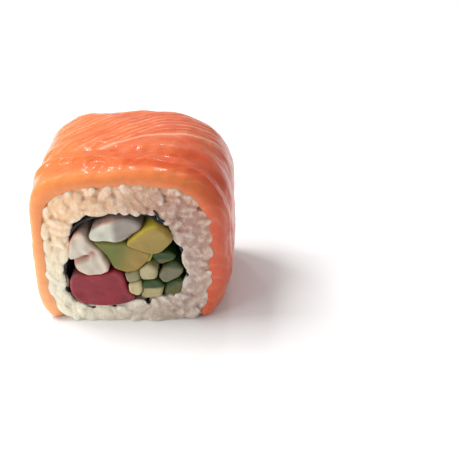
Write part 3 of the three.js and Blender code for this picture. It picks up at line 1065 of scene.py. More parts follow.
@dataclass(frozen=True)
class FillingFinish(Finish):
    """The flesh of a filling: two tones in clouds, a rim of its own, a side that differs (on some,
    painted highlight and shade), and painted shade in creases.
    """

    flesh: Colour = (0.8, 0.8, 0.8, 1.0)
    second: Colour = (0.8, 0.8, 0.8, 1.0)
    cloud_size: float = 2.0
    second_share: float = 0.5
    rim: Colour = (0.8, 0.8, 0.8, 1.0)
    rim_width: float = 0.5
    rim_share: float = 0.0
    side: Colour = (0.8, 0.8, 0.8, 1.0)
    side_share: float = 0.0
    side_way: tuple[float, float] = (1.0, 0.0)
    side_from: float = 0.0
    side_to: float = 1.0
    # Painted shade in the creases of the cut face.
    crease_shade: Colour = (0.8, 0.8, 0.8, 1.0)
    crease_shade_share: float = 0.0
    rim_way: tuple[float, float] = (0.0, 0.0)
    rim_from: float = -2.0
    rim_to: float = -1.0
    streak_turn: float = 0.0
    streak_length: float = 1.0
    lumps: float = 1.4
    grain: float = 0.3
    grain_share: float = 0.25

    def towards(
        self, bench: NodeBench, place: Socket, way: tuple[float, float], low: float, high: float,
    ) -> Socket:
        """Adds a mask that rises towards one side of the cut face, and gives it.

        Args:
            bench: The material's bench.
            place: Object coordinates.
            way: The side, x and z.
            low: Where the mask starts, in millimetres that way.
            high: Where it is full.

        Returns:
            The mask.
        """
        split = bench.add("ShaderNodeSeparateXYZ", {0: place})
        across = bench.product(split.outputs[0], way[0])
        reached = bench.maths("ADD", across, bench.product(split.outputs[2], way[1]))
        return bench.span(reached, low * MM, high * MM)

    def colour(self, bench: NodeBench, place: Socket) -> Socket:
        """Adds the flesh, the side that differs, the rim and the painted shade in the creases.

        Args:
            bench: The material's bench.
            place: Object coordinates.

        Returns:
            The colour.
        """
        streaked = bench.add("ShaderNodeMapping", {
            "Vector": place, "Rotation": (0.0, self.streak_turn, 0.0),
            "Scale": (self.streak_length, 1.0, 1.0),
        }, vector_type="TEXTURE").outputs[0]
        clouds = SHELF.place(
            bench, Effect.CLOUDS, place=streaked, size=self.cloud_size, low=0.38, high=0.66,
        )
        flesh = bench.blend(bench.product(clouds, self.second_share), self.flesh, self.second)
        side = self.towards(bench, place, self.side_way, self.side_from, self.side_to)
        flesh = bench.blend(bench.product(side, self.side_share), flesh, self.side)
        rim = bench.span(bench.attribute("inward"), 0.0, self.rim_width, 1.0, 0.0)
        here = self.towards(bench, place, self.rim_way, self.rim_from, self.rim_to)
        rim = bench.product(bench.product(rim, here), self.rim_share)
        flesh = bench.blend(rim, flesh, self.rim)
        # Painted shade in the creases.
        crease_shade = bench.product(bench.attribute("crease"), self.crease_shade_share)
        return bench.blend(crease_shade, flesh, self.crease_shade)

    def height(self, bench: NodeBench, place: Socket) -> Socket:
        """Adds the moist flesh's relief.

        Args:
            bench: The material's bench.
            place: Object coordinates.

        Returns:
            The height.
        """
        return SHELF.place(
            bench, Effect.RELIEF, place=place,
            lumps=self.lumps, grain=self.grain, share=self.grain_share,
        )


WRAP_LENGTH = RICE_OUTLINE.length(RIGHT_TIP, LEFT_TIP)


@dataclass
class Slice(ABC):
    """One slice of salmon: rings round its own section, from its left tip to its right one."""

    node: str = "salmon"
    stations: int = 300
    outer_steps: int = 62
    inner_steps: int = 14
    arc_steps: int = 8
    low_share: float = 0.35
    corner: float = 2.0
    left_thinning: float = 1.0
    thin_at_tip: float = 0.35
    thin_from: tuple[float, float] = (0.08, 0.22)
    thin_until: tuple[float, float] = (0.2, 0.36)
    tip_swell: float = 0.7
    right_swell: float = 0.6
    tip_share: float = 0.07
    floor: float = 0.35
    floor_softness: float = 0.12
    unevenness: float = 0.14
    uneven_sizes: tuple[float, float] = (7.0, 2.6)
    fine_share: float = 0.45
    round_from: float = 1.1
    round_about: float = 0.42
    full_room: float = 4.0
    inset: float = 0.15
    waver: float = 0.22
    waver_size: float = 9.0
    fullness: tuple[tuple[float, float], ...] = (
        (0, 0.4), (0.05, 0), (0.1, 0), (0.15, 0.4), (0.2, 0.4), (0.25, -0.1), (0.28, -0.3),
        (0.305, 0.7), (0.335, 0.9), (0.365, 0.7), (0.4, 0.3), (0.45, 0.4), (0.5, 0.6), (0.7, 0.65),
        (0.79, 0.2), (0.87, 0.8), (0.91, 0.4), (0.95, -0.5), (1, -0.4),
    )
    edge_places: tuple[tuple[float, float], ...] = (
        (0, -4.5), (0.25, -4), (0.42, -5.5), (0.54, -8),
        (0.63, -8.2), (0.73, -9.6), (0.85, -9.2), (1, -8),
    )
    tuck: float = 2.4
    tuck_thickness: float = 0.45
    tuck_taper: float = 6.0
    tuck_ramp: float = 2.6
    fatty: bool = False

    @abstractmethod
    def ends(self, edge: Array) -> tuple[Array, Array]:
        """Where the slice starts and ends along the roll."""

    @abstractmethod
    def inner(self, past_edge: Array, scale: Array) -> Array:
        """How far the slice's inner side lies out from the rice."""

    @abstractmethod
    def thickness(self, past_edge: Array) -> Array:
        """The slice's own thickness, before the wrap's."""

    @abstractmethod
    def rounding(self) -> tuple[float, float, float, float]:
        """How far the outer and inner corners are rounded at the front, and at the rear."""

    def wrap_scale(self, share: Array) -> Array:
        """Works out how thick the salmon is along its wrap, as a share of its usual thickness.

        Args:
            share: Places along the wrap, from 0 at the left tip to 1 at the right one.

        Returns:
            The shares.
        """
        left_tip = np.exp(-((share / self.tip_share) ** 2))
        right_tip = np.exp(-(((1 - share) / self.tip_share) ** 2))
        on_left = 1 - smooth(*self.thin_until, share)
        on_left = on_left * lerp(self.thin_at_tip, 1, smooth(*self.thin_from, share))
        swollen = self.tip_swell * (left_tip + self.right_swell * right_tip)
        return (SALMON_THICKNESS - self.left_thinning * on_left + swollen) / SALMON_THICKNESS

    def edge_place(self, share: Array) -> Array:
        """Works out where the front slice ends on the back one.

        Args:
            share: Places along the wrap, from 0 to 1.

        Returns:
            Places along the roll, in millimetres.
        """
        shares, places = np.array(self.edge_places, float).T
        index = np.clip(np.searchsorted(shares, share) - 1, 0, len(shares) - 2)
        risen = smooth(0, 1, (share - shares[index]) / (shares[index + 1] - shares[index]))
        run = np.stack([share * WRAP_LENGTH, 0 * share, 0 * share], axis=-1)
        waver = Ripple(self.waver_size, 31).at(run)
        return lerp(places[index], places[index + 1], risen) + self.waver * waver

    def back_thickness(self, past_edge: Array) -> Array:
        """The back slice thins down to its own edge, which lies under the front slice."""
        risen = np.clip((past_edge + self.tuck) / self.tuck_taper, 0, 1)
        return lerp(self.tuck_thickness, SALMON_THICKNESS, risen)

    def section(self, start: Array, end: Array) -> tuple[Array, Array]:
        """Goes once round the slice's section.

        Args:
            start: Where each station's section starts along the roll.
            end: Where it ends.

        Returns:
            For each station and ring point, its place along the roll and its share of the thickness.
        """
        front_out, front_in, rear_out, rear_in = self.rounding()
        room = np.clip((end - start) / self.full_room, 0.05, 1.0)[:, None]
        turn = np.linspace(0, math.pi / 2, self.arc_steps + 1)
        rise, back = np.sin(turn), 1 - np.cos(turn)
        low = self.low_share
        start, end = start[:, None], end[:, None]
        inner_run = np.linspace(0, 1, self.inner_steps + 2)[1:-1]
        outer_run = np.linspace(1, 0, self.outer_steps + 2)[1:-1]
        f_in, f_out, r_in, r_out = (r * room for r in (front_in, front_out, rear_in, rear_out))
        pieces = [
            (lerp(start + f_in, end - r_in, inner_run), 0 * inner_run),
            (end - r_in * back[::-1], low * (1 - rise[::-1])),
            (end - r_out * back[1:], low + (1 - low) * rise[1:]),
            (lerp(start + f_out, end - r_out, outer_run), 0 * outer_run + 1),
            (start + f_out * back[::-1], low + (1 - low) * rise[::-1]),
            (start + f_in * back[1:], low * (1 - rise[1:])),
        ]
        along = np.concatenate([place for place, _ in pieces], axis=1)
        height = np.concatenate([share for _, share in pieces])
        return along, np.broadcast_to(height, along.shape)

    def fill(self, share: Array) -> Array:
        """Works out how much fuller the slice is along its wrap, smoothed.

        Args:
            share: Places along the wrap, from 0 to 1.

        Returns:
            Millimetres.
        """
        full = np.interp(share, *np.array(self.fullness, float).T)
        return np.convolve(np.pad(full, 5, "edge"), np.ones(11) / 11, "valid")

    def build(self) -> bpy.types.Object:
        """Builds the slice's mesh with its two UV maps.

        Returns:
            The slice.
        """
        angles = RICE_OUTLINE.even_angles(LEFT_TIP, RIGHT_TIP, self.stations)
        share = np.linspace(0, 1, self.stations + 1)
        tip = np.minimum(share, 1 - share) * WRAP_LENGTH
        edge = self.edge_place(share)
        start, end = self.ends(edge)
        corner = self.corner * (1 - np.sqrt(1 - (1 - np.clip(tip / self.corner, 0, 1)) ** 2))
        along, height = self.section(start + corner, end - corner)
        past = along - edge[:, None]
        scale = self.wrap_scale(share)[:, None]
        rounded = np.sqrt(1 - (1 - np.clip(tip / self.round_from, 0.02, 1)) ** 2)[:, None]
        press = side_press(angles)[:, None]
        wrap = np.broadcast_to((share * WRAP_LENGTH)[:, None], along.shape)
        places = np.stack([wrap, along, 0 * along], axis=-1)
        coarse, fine = (Ripple(size, 5 + k).at(places) for k, size in enumerate(self.uneven_sizes))
        uneven = coarse + self.fine_share * fine
        whole = self.thickness(past) * scale + press + self.fill(share)[:, None]
        middle = self.inner(past, scale) - press + whole * self.round_about
        offset = (
            middle + (height - self.round_about) * (whole * rounded)
            + height * rounded * self.unevenness * uneven
        )
        outward = RICE_OUTLINE.normal(angles)[:, None, :]
        face = RICE_OUTLINE.at(angles)[:, None, :] + outward * offset[..., None]
        softness = self.floor_softness
        lifted = self.floor + np.logaddexp(0, (face[..., 1] - self.floor) / softness) * softness
        points = np.stack([face[..., 0], along, lifted], axis=-1)
        piece = new_mesh_object(
            f"{self.node}_slice", settled(points.reshape(-1, 3)),
            capped(self.stations + 1, points.shape[1]),
        )
        store_uv(piece.data, "wrap", np.stack([wrap, along], axis=-1).reshape(-1, 2))
        store_uv(piece.data, "fat", self.fat_places(wrap, along).reshape(-1, 2))
        return piece

    @staticmethod
    def fat_places(wrap: Array, along: Array) -> Array:
        """Measures places against the lines of fat.

        Args:
            wrap: Distance along the wrap from its left tip.
            along: Place along the roll.

        Returns:
            How far each place lies behind the bold line, and behind the first of the thin ones.
        """
        share = wrap / WRAP_LENGTH
        bold = np.interp(
            share,
            [0.2, 0.43, 0.48, 0.53, 0.58, 0.63, 0.66, 0.70, 0.9],
            [-11.0, -4.75, -2.6, -0.6, 0.9, 2.7, 4.6, 6.6, 15.0],
        )
        thin = np.interp(share, [0.0, 0.5, 0.56, 0.66, 1.0], [-42.0, 0.0, 4.6, 9.0, 27.0])
        return np.stack([along - bold, along - thin], axis=-1)

    def dress(self, piece: bpy.types.Object) -> None:
        """Gives the slice its finish and its body, and hides its CAD node.

        Args:
            piece: The slice.
        """
        finish = SalmonFinish(name=f"{self.node}_flesh", fatty=self.fatty)
        piece.data.materials.append(finish.material())
        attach(piece, "root")
        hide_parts(self.node)


@dataclass
class FrontSlice(Slice):
    """The slice at the front, whose rear edge lies over the back one."""

    node: str = "salmon_front"
    edge_thickness: float = 1.3
    edge_fade: float = 3.5
    clearance: float = 0.15

    def ends(self, edge: Array) -> tuple[Array, Array]:
        """Where the slice starts and ends along the roll."""
        return np.full_like(edge, self.inset - HALF), edge

    def inner(self, past_edge: Array, scale: Array) -> Array:
        """Close to the rice, then up over the back slice."""
        over = smooth(-self.tuck - self.tuck_ramp, -self.tuck - GAP, past_edge)
        return GAP + (self.back_thickness(past_edge) * scale + self.clearance) * over

    def thickness(self, past_edge: Array) -> Array:
        """Thinner towards the rear edge."""
        thinned = smooth(-self.edge_fade, 0, past_edge)
        return lerp(SALMON_THICKNESS, self.edge_thickness, thinned)

    def rounding(self) -> tuple[float, float, float, float]:
        """A soft front edge, and a small round at the rear."""
        return 1.7, 0.3, 0.8, 0.3


@dataclass
class BackSlice(Slice):
    """The slice behind, with the lines of fat."""

    node: str = "salmon_back"
    fatty: bool = True

    def ends(self, edge: Array) -> tuple[Array, Array]:
        """Where the slice starts and ends along the roll."""
        return edge - self.tuck, np.full_like(edge, HALF - self.inset)

    def inner(self, past_edge: Array, scale: Array) -> Array:
        """Close to the rice."""
        return GAP + 0 * past_edge

    def thickness(self, past_edge: Array) -> Array:
        """Thin where it lies under the front slice."""
        return self.back_thickness(past_edge)

    def rounding(self) -> tuple[float, float, float, float]:
        """Thin at its hidden edge, and a soft edge at the back cut."""
        return 0.5, 0.2, 1.6, 0.4


@dataclass
class GrainTree:
    """The Geometry Nodes tree that sets a grain of rice on each point, along the point's own axis."""

    width: float = 2.5
    length: float = 5.4
    spread: float = 0.16
    seed: int = 7

    def build(self) -> bpy.types.NodeTree:
        """Builds the tree.

        Returns:
            The tree, with named inputs for its sizes, its seed and the grains' finish.
        """
        tree = bpy.data.node_groups.new("rice_grains", "GeometryNodeTree")
        made = tree.interface
        made.new_socket("Geometry", in_out="INPUT", socket_type="NodeSocketGeometry")
        for label in ("Grain width", "Grain length", "Size spread"):
            made.new_socket(label, in_out="INPUT", socket_type="NodeSocketFloat")
        made.new_socket("Seed", in_out="INPUT", socket_type="NodeSocketInt")
        made.new_socket("Finish", in_out="INPUT", socket_type="NodeSocketMaterial")
        made.new_socket("Geometry", in_out="OUTPUT", socket_type="NodeSocketGeometry")
        bench = NodeBench(tree)
        given = bench.add("NodeGroupInput")
        grain = bench.add("GeometryNodeMeshUVSphere", {"Segments": 8, "Rings": 6, "Radius": 0.5})
        axis = bench.add("GeometryNodeInputNamedAttribute", {"Name": "axis"}, data_type="FLOAT_VECTOR")
        turn = bench.add(
            "FunctionNodeAlignRotationToVector", {"Vector": axis.outputs["Attribute"]}, axis="Z",
        )
        low = bench.maths("SUBTRACT", 1.0, given.outputs["Size spread"])
        high = bench.maths("ADD", 1.0, given.outputs["Size spread"])
        seed = given.outputs["Seed"]
        drawn = bench.add("FunctionNodeRandomValue", {"Seed": seed}, data_type="FLOAT")
        bench.feed(drawn.inputs[2], low)
        bench.feed(drawn.inputs[3], high)
        across = bench.product(drawn.outputs[1], given.outputs["Grain width"])
        along = bench.product(drawn.outputs[1], given.outputs["Grain length"])
        scale = bench.add("ShaderNodeCombineXYZ", {0: across, 1: across, 2: along})
        placed = bench.add("GeometryNodeInstanceOnPoints", {
            "Points": given.outputs["Geometry"], "Instance": grain.outputs["Mesh"],
            "Rotation": turn.outputs[0], "Scale": scale.outputs[0],
        })
        real = bench.add("GeometryNodeRealizeInstances", {"Geometry": placed.outputs[0]})
        dressed = bench.add("GeometryNodeSetMaterial", {
            "Geometry": real.outputs[0], "Material": given.outputs["Finish"],
        })
        out = bench.add("NodeGroupOutput")
        bench.feed(out.inputs[0], dressed.outputs[0])
        return tree

    def run(self, places: Array, axes: Array, finish: bpy.types.Material) -> bpy.types.Object:
        """Sets the grains.

        Args:
            places: Their middles, in metres, in the frame.
            axes: Which way each lies.
            finish: Their material.

        Returns:
            A plain mesh object of all the grains.
        """
        mesh = bpy.data.meshes.new("grain_points")
        mesh.from_pydata([tuple(p) for p in places], [], [])
        layer = mesh.attributes.new("axis", "FLOAT_VECTOR", "POINT")
        layer.data.foreach_set("vector", np.ascontiguousarray(axes, dtype=np.float32).ravel())
        carrier = bpy.data.objects.new("grain_points", mesh)
        bpy.context.scene.collection.objects.link(carrier)
        modifier = carrier.modifiers.new("grains", "NODES")
        tree = self.build()
        modifier.node_group = tree
        values = {
            "Grain width": self.width * MM, "Grain length": self.length * MM,
            "Size spread": self.spread, "Seed": self.seed, "Finish": finish,
        }
        for item in tree.interface.items_tree:
            if item.in_out == "INPUT" and item.name in values:
                modifier[item.identifier] = values[item.name]
        return baked(carrier, "grains")


@dataclass
class GrainBed:
    """A layer of grains that push each other apart until they lie side by side."""

    count: int
    draw: Callable[[np.random.Generator, int], Array]
    keep_in: Callable[[Array, float], Array]
    seed: int
    radius: float = 1.2
    reach: float = 1.4
    rounds: int = 140
    closeness: float = 0.8
    push: float = 0.35
    hold: float = 0.6

    def lay(self) -> tuple[Array, Array]:
        """Lays the layer.

        Returns:
            The grains' middles in the layer, and the angle each is turned to.
        """
        rng = np.random.default_rng(self.seed)
        middle = self.draw(rng, self.count)
        turn = rng.uniform(0, math.pi, self.count)
        arms = np.array([-1.0, 0.0, 1.0]) * self.reach
        owner = np.repeat(np.arange(self.count), 3)
        wanted = 2 * self.radius * self.closeness
        for _ in range(self.rounds):
            way = np.stack([np.cos(turn), np.sin(turn)], axis=-1)
            balls = (middle[:, None, :] + arms[None, :, None] * way[:, None, :]).reshape(-1, 2)
            gap = balls[:, None, :] - balls[None, :, :]
            far = np.linalg.norm(gap, axis=-1) + 1e-6
            overlap = np.clip(wanted - far, 0, None)
            overlap[owner[:, None] == owner[None, :]] = 0
            force = (gap / far[..., None] * overlap[..., None]).sum(axis=1) * self.push
            force += self.keep_in(balls, self.radius) * self.hold
            force = force.reshape(self.count, 3, 2)
            middle = middle + force.mean(axis=1)
            side = np.stack([-way[:, 1], way[:, 0]], axis=-1)
            torque = (force * side[:, None, :]).sum(axis=-1) * arms
            turn = turn + torque.sum(axis=1) / (2 * self.reach ** 2)
        return middle, turn


@dataclass
class RicePack:
    """The rice: grains fused to a core, at both cuts and on the underside, in two halves."""

    face_grains: int = 92
    under_grains: int = 140
    first_depth: float = 1.2
    layer_depth: float = 1.0
    under_depth: float = 0.85
    under_past_tips: float = 0.12
    under_past_middle: float = 0.6
    grain_tilt: float = 0.34
    grain_jitter: float = 0.3
    foot_bulge: float = 0.5
    foot_heights: tuple[float, float] = (1.5, 6.0)
    core_depth: float = 1.3
    core_past_middle: float = 0.2
    core_swell: float = 0.15
    core_floor: float = 0.3
    core_clearance: float = 0.55
    core_points: int = 160
    core_rings: int = 12
    cut_depth: float = 0.9
    cut_relief: float = 0.5
    cut_swell: float = 0.35
    cut_swell_from: tuple[float, float] = (1.0, 6.0)
    seam_lift: float = 0.15
    crumb: float = 0.045
    crumb_sizes: tuple[float, float] = (1.5, 0.9)
    coarse_share: float = 0.6
    # Reach and heights of the painted light bounced from the salmon.
    salmon_bounce_reach: float = 1.6
    salmon_bounce_heights: tuple[float, float] = (3.0, 9.0)
    voxel: float = 0.27
    smoothing: int = 5
    seed: int = 11
    finish: RiceFinish = field(default_factory=RiceFinish)

    @staticmethod
    def draw_on_cut(rng: np.random.Generator, count: int) -> Array:
        """Draws places in the ring of rice.

        Args:
            rng: The draw.
            count: How many.

        Returns:
            Their x and z.
        """
        angle = rng.uniform(0, 2 * math.pi, count)
        inner = np.linalg.norm(NORI_LOOP.at(angle) - np.array(NORI_LOOP.centre), axis=-1)
        outer = np.linalg.norm(RICE_OUTLINE.at(angle) - np.array(RICE_OUTLINE.centre), axis=-1)
        far = lerp(inner + 1.0, outer, rng.uniform(0.1, 0.9, count))
        return np.stack([
            NORI_LOOP.centre[0] + far * np.cos(angle), NORI_LOOP.centre[1] + far * np.sin(angle),
        ], axis=-1)

    @staticmethod
    def keep_in_ring(balls: Array, radius: float) -> Array:
        """Pushes what leaves the ring of rice back into it.

        Args:
            balls: Places in the cut face.
            radius: How much room each needs.

        Returns:
            The push on each.
        """
        force = np.zeros_like(balls)
        from_middle = balls - np.array(NORI_LOOP.centre)
        angle = np.arctan2(from_middle[:, 1], from_middle[:, 0])
        lap = RicePack.nori_covered(angle)
        from_centre = balls - np.array(RICE_OUTLINE.centre)
        press = side_press(np.arctan2(from_centre[:, 1], from_centre[:, 0]))
        past_edge = 0.8
        edges = ((RICE_OUTLINE, -1, radius - past_edge + press), (NORI_LOOP, 1, radius - lap))
        for outline, side, room in edges:
            way = balls - np.array(outline.centre)
            way /= np.linalg.norm(way, axis=-1, keepdims=True) + 1e-9
            inside = outline.depth_inside(balls[:, 0], balls[:, 1])
            short = np.clip(room + side * inside, 0, None)
            force += side * way * short[:, None]
        return force

    @staticmethod
    def nori_covered(angle: Array) -> Array:
        """How far the rice at a cut lies over the nori's edge, round the loop.

        Args:
            angle: Angles round the loop, in radians.

        Returns:
            Millimetres, less where the nori shows.
        """
        covers = (
            (0, 0.3), (10, 0.3), (16, 0.4), (26, 1.1), (38, 1.3), (50, 0.7), (58, 0.2),
            (64, 0.1), (75, 0.3), (95, 0.3), (105, 0.4), (114, -0.1), (122, -0.3), (142, -0.3),
            (150, 0.4), (160, 1.3), (173, 1.2), (180, 0.0), (197, 0.0), (204, 0.3), (213, 0.0),
            (222, 0.5), (234, 0.4), (255, 0.2), (268, 0.7), (285, 1.5), (318, 1.5), (330, 0.7),
            (338, 1.2), (345, 0.3), (352, 0.6), (360, 0.3),
        )
        return np.interp(np.mod(np.degrees(angle), 360), *np.array(covers).T)

    def cut_layer(self, depth: float, back: bool, seed: int) -> tuple[Array, Array]:
        """Lays one layer of grains at a cut.

        Args:
            depth: How deep its grains' middles lie behind the cut.
            back: Whether it is the back cut.
            seed: Seed of its draw.

        Returns:
            The grains' middles on the straight roll, and their axes.
        """
        bed = GrainBed(self.face_grains, self.draw_on_cut, self.keep_in_ring, seed)
        middle, turn = bed.lay()
        rng = np.random.default_rng(seed + 1)
        tilt = rng.normal(0, self.grain_tilt, len(turn))
        bulge = self.foot_bulge * (1 - smooth(*self.foot_heights, middle[:, 1]))
        jitter = rng.uniform(-self.grain_jitter, self.grain_jitter, len(turn))
        y = -HALF + depth - bulge + jitter
        if back:
            y = -y
        points = np.stack([middle[:, 0], y, middle[:, 1]], axis=-1)
        axes = np.stack([
            np.cos(turn) * np.cos(tilt), np.sin(tilt), np.sin(turn) * np.cos(tilt),
        ], axis=-1)
        return points, axes

    def under_layer(self) -> tuple[Array, Array]:
        """Lays the grains on the underside and up the lower sides, as far as the salmon.

        Returns:
            The grains' middles on the straight roll, and their axes.
        """
        start = LEFT_TIP - self.under_past_tips
        end = 2 * math.pi + RIGHT_TIP + self.under_past_tips
        run = RICE_OUTLINE.length(start, end)
        angles = RICE_OUTLINE.even_angles(start, end, 200)

        def draw(rng: np.random.Generator, count: int) -> Array:
            """Draws places on the rolled-out underside."""
            across = rng.uniform(0, run, count)
            return np.stack([across, rng.uniform(-HALF, HALF, count)], axis=-1)

        def keep_in(balls: Array, radius: float) -> Array:
            """Keeps places on the rolled-out underside.

            Args:
                balls: Places on it.
                radius: How much room each needs.

            Returns:
                The push on each.
            """
            low = np.array([0.0, -HALF + radius])
            high = np.array([run, HALF - radius])
            return np.clip(low - balls, 0, None) - np.clip(balls - high, 0, None)

        middle, turn = GrainBed(self.under_grains, draw, keep_in, self.seed + 90).lay()
        angle = np.interp(middle[:, 0], np.linspace(0, run, len(angles)), angles)
        face = RICE_OUTLINE.offset(angle, np.full(len(angle), -self.under_depth))
        normal = RICE_OUTLINE.normal(angle)
        axes = np.stack([
            -normal[:, 1] * np.cos(turn), np.sin(turn), normal[:, 0] * np.cos(turn),
        ], axis=-1)
        return np.stack([face[:, 0], middle[:, 1], face[:, 1]], axis=-1), axes

    def core(self, front: float, back: float) -> bpy.types.Object:
        """Makes a stretch of the plain ring that carries the grains.

        Args:
            front: Where it starts along the roll.
            back: Where it ends.

        Returns:
            The ring.
        """
        count = self.core_points
        angle = np.linspace(0, 2 * math.pi, count, endpoint=False)
        outer = RICE_OUTLINE.offset(angle, self.core_swell - side_press(angle))
        outer[:, 1] = np.maximum(outer[:, 1], self.core_floor)
        inner = NORI_LOOP.offset(angle, np.full(count, self.core_clearance) + self.lap_room(angle))
        stations = np.linspace(front, back, self.core_rings)
        rings = [
            np.stack([loop[:, 0], np.full(count, y), loop[:, 1]], axis=-1)
            for loop, row in ((outer, stations), (inner, stations[::-1])) for y in row
        ]
        points = np.concatenate(rings)
        return new_mesh_object("core", settled(points), ring_faces(len(rings), count, returns=True))

    @staticmethod
    def lap_room(angle: Array) -> Array:
        """Works out the room for the nori's lapped and lifted end.

        Args:
            angle: Angles round the loop, in radians.

        Returns:
            Millimetres.
        """
        turned = np.mod(angle - NORI_START, 2 * math.pi)
        after_start = 2.2 * (1 - smooth(NORI_LAP * 0.7, NORI_LAP + 0.3, turned))
        before_start = 0.8 * smooth(5.7, 6.28, turned)
        return after_start + before_start

    def build(self) -> list[bpy.types.Object]:
        """Builds the front and the back half.

        Returns:
            The two pieces.
        """
        material = self.finish.material()
        under = self.under_layer()
        pieces = []
        for back in (False, True):
            side = 1 if back else -1
            layers = []
            for k in range(2):
                seed = self.seed + 3 * k + 10 * back
                layers.append(self.cut_layer(self.first_depth + k * self.layer_depth, back, seed))
            keep = under[0][:, 1] * side > -self.under_past_middle
            layers.append((under[0][keep], under[1][keep]))
            points, axes = (np.concatenate(values) for values in zip(*layers))
            grains = GrainTree(seed=self.seed + back).run(settled(points), axes, material)
            ends = sorted((-self.core_past_middle * side, side * (HALF - self.core_depth)))
            joined = self.joined([grains, self.core(*ends)])
            name = "rice_back_half" if back else "rice_front_half"
            piece = fused(joined, name, self.voxel, self.smoothing)
            move_vertices(piece.data, self.cut_and_pressed(piece.data, side))
            # Kept for the painted shade in the hollows and the painted highlights on the crests.
            store_number(piece.data, "hollow", hollows(piece.data))
            # Kept for the painted light bounced from the salmon.
            store_number(piece.data, "salmon_bounce", self.salmon_bounce(vertex_places(piece.data)))
            piece.data.materials.clear()
            piece.data.materials.append(material)
            pieces.append(piece)
        return pieces

    def salmon_bounce(self, places: Array) -> Array:
        """How much painted light bounced from the salmon the rice shows, by how near to it the rice
        lies.

        Args:
            places: Its vertices, in metres, in the frame.

        Returns:
            A share for each vertex.
        """
        points = straightened(places)
        inside = RICE_OUTLINE.depth_inside(points[:, 0], points[:, 2])
        near = np.exp(-np.clip(inside, 0, None) / self.salmon_bounce_reach)
        return near * smooth(*self.salmon_bounce_heights, points[:, 2])

    def cut_and_pressed(self, mesh: bpy.types.Mesh, half: int) -> Array:
        """Evens the rice out at the cut, crumbles it, and presses it flat below.

        Args:
            mesh: The fused rice.
            half: -1 for the front half, 1 for the back one.

        Returns:
            The moved vertices.
        """
        places = vertex_places(mesh)
        coarse, fine = (
            Ripple(size, 41 + k).at(places / MM) for k, size in enumerate(self.crumb_sizes)
        )
        crumbs = self.coarse_share * coarse + fine
        points = straightened(places + vertex_facings(mesh) * crumbs[:, None] * self.crumb * MM)
        side = np.sign(points[:, 1])
        behind = HALF - np.abs(points[:, 1])
        evened = self.cut_depth + (behind - self.cut_depth) * self.cut_relief
        shallow = np.where(behind < self.cut_depth, evened, behind)
        swell = self.cut_swell * smooth(*self.cut_swell_from, np.abs(points[:, 1]))
        points[:, 1] = side * (HALF + swell - shallow)
        moved = settled(points)
        past_middle = points[:, 1] * half < 0
        moved[:, 2] = np.maximum(moved[:, 2], np.where(past_middle, self.seam_lift * MM, 0.0))
        return moved

    @staticmethod
    def joined(pieces: Sequence[bpy.types.Object]) -> bpy.types.Object:
        """Puts several meshes into one object.

        Args:
            pieces: Their objects, which are removed.

        Returns:
            The new object.
        """
        whole = bmesh.new()
        for piece in pieces:
            whole.from_mesh(piece.data)
            bpy.data.objects.remove(piece)
        mesh = bpy.data.meshes.new("joined")
        whole.to_mesh(mesh)
        whole.free()
        result = bpy.data.objects.new("joined", mesh)
        bpy.context.scene.collection.objects.link(result)
        return result

    def dress(self, pieces: Sequence[bpy.types.Object]) -> None:
        """Gives the halves their body, and hides the CAD rice.

        Args:
            pieces: The two halves.
        """
        for piece in pieces:
            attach(piece, "root")
            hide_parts("rice")


@dataclass
class NoriSheet:
    """The sheet of nori, wound once round the fillings, with a lapped end that lifts away."""

    stations: int = 420
    rows: int = 30
    flat_length: float = 90.0
    crinkle: float = 0.16
    crinkle_size: float = 3.4
    ragged: float = 0.25
    ragged_size: float = 3.0
    forward: float = 0.7
    finish: NoriFinish = field(default_factory=NoriFinish)

    @staticmethod
    def wind(turned: Array) -> Array:
        """Works out how far the sheet lies outside its loop, where it laps over itself and lifts away.

        Args:
            turned: Angles past the start of the sheet, in radians.

        Returns:
            The distances, in millimetres.
        """
        lapped = smooth(2 * math.pi - NORI_LAP, 2 * math.pi + 0.05, turned)
        flared = smooth(2 * math.pi + NORI_LAP * 0.6, 2 * math.pi + NORI_LAP, turned)
        return lapped * (NORI_THICKNESS + GAP) + flared * NORI_FLARE

    def build(self) -> bpy.types.Object:
        """Builds the sheet as rings round its section, one behind the other.

        Returns:
            The sheet.
        """
        full = 2 * math.pi + NORI_LAP
        angles = NORI_LOOP.even_angles(NORI_START, NORI_START + full, self.stations)
        turned = angles - NORI_START
        run = np.linspace(0, self.flat_length, len(angles))
        edge = Ripple(self.ragged_size, 21).at(np.stack([run, 0 * run, 0 * run], axis=-1))
        ragged = self.ragged * edge
        forward = self.forward * smooth(full - 0.5, full - 0.1, turned)
        ripple = Ripple(self.crinkle_size, 22)
        rings = []
        for row in np.linspace(-1, 1, self.rows):
            y = row * (HALF - NORI_RECESS) + np.abs(row) ** 8 * row * (ragged + forward)
            wind = self.wind(turned) + self.crinkle * ripple.at(np.stack([run, y, 0 * run], axis=-1))
            outer = NORI_LOOP.offset(angles, wind)
            inner = NORI_LOOP.offset(angles, wind - NORI_THICKNESS)[::-1]
            loop = np.concatenate([outer, inner])
            depth = np.concatenate([y, y[::-1]])
            rings.append(np.stack([loop[:, 0], depth, loop[:, 1]], axis=-1))
        points = np.stack(rings)
        size = points.shape[1]
        faces = ring_faces(self.rows, size)
        for i in (0, self.rows - 1):
            faces += [
                (i * size + j, i * size + j + 1, (i + 1) * size - 2 - j, (i + 1) * size - 1 - j)
                for j in range(size // 2 - 1)
            ]
        return new_mesh_object("nori_sheet", settled(points.reshape(-1, 3)), faces)

    def dress(self, piece: bpy.types.Object) -> None:
        """Gives the sheet its finish and its body, and hides the CAD nori.

        Args:
            piece: The sheet.
        """
        piece.data.materials.append(self.finish.material())
        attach(piece, "root")
        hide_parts("nori")


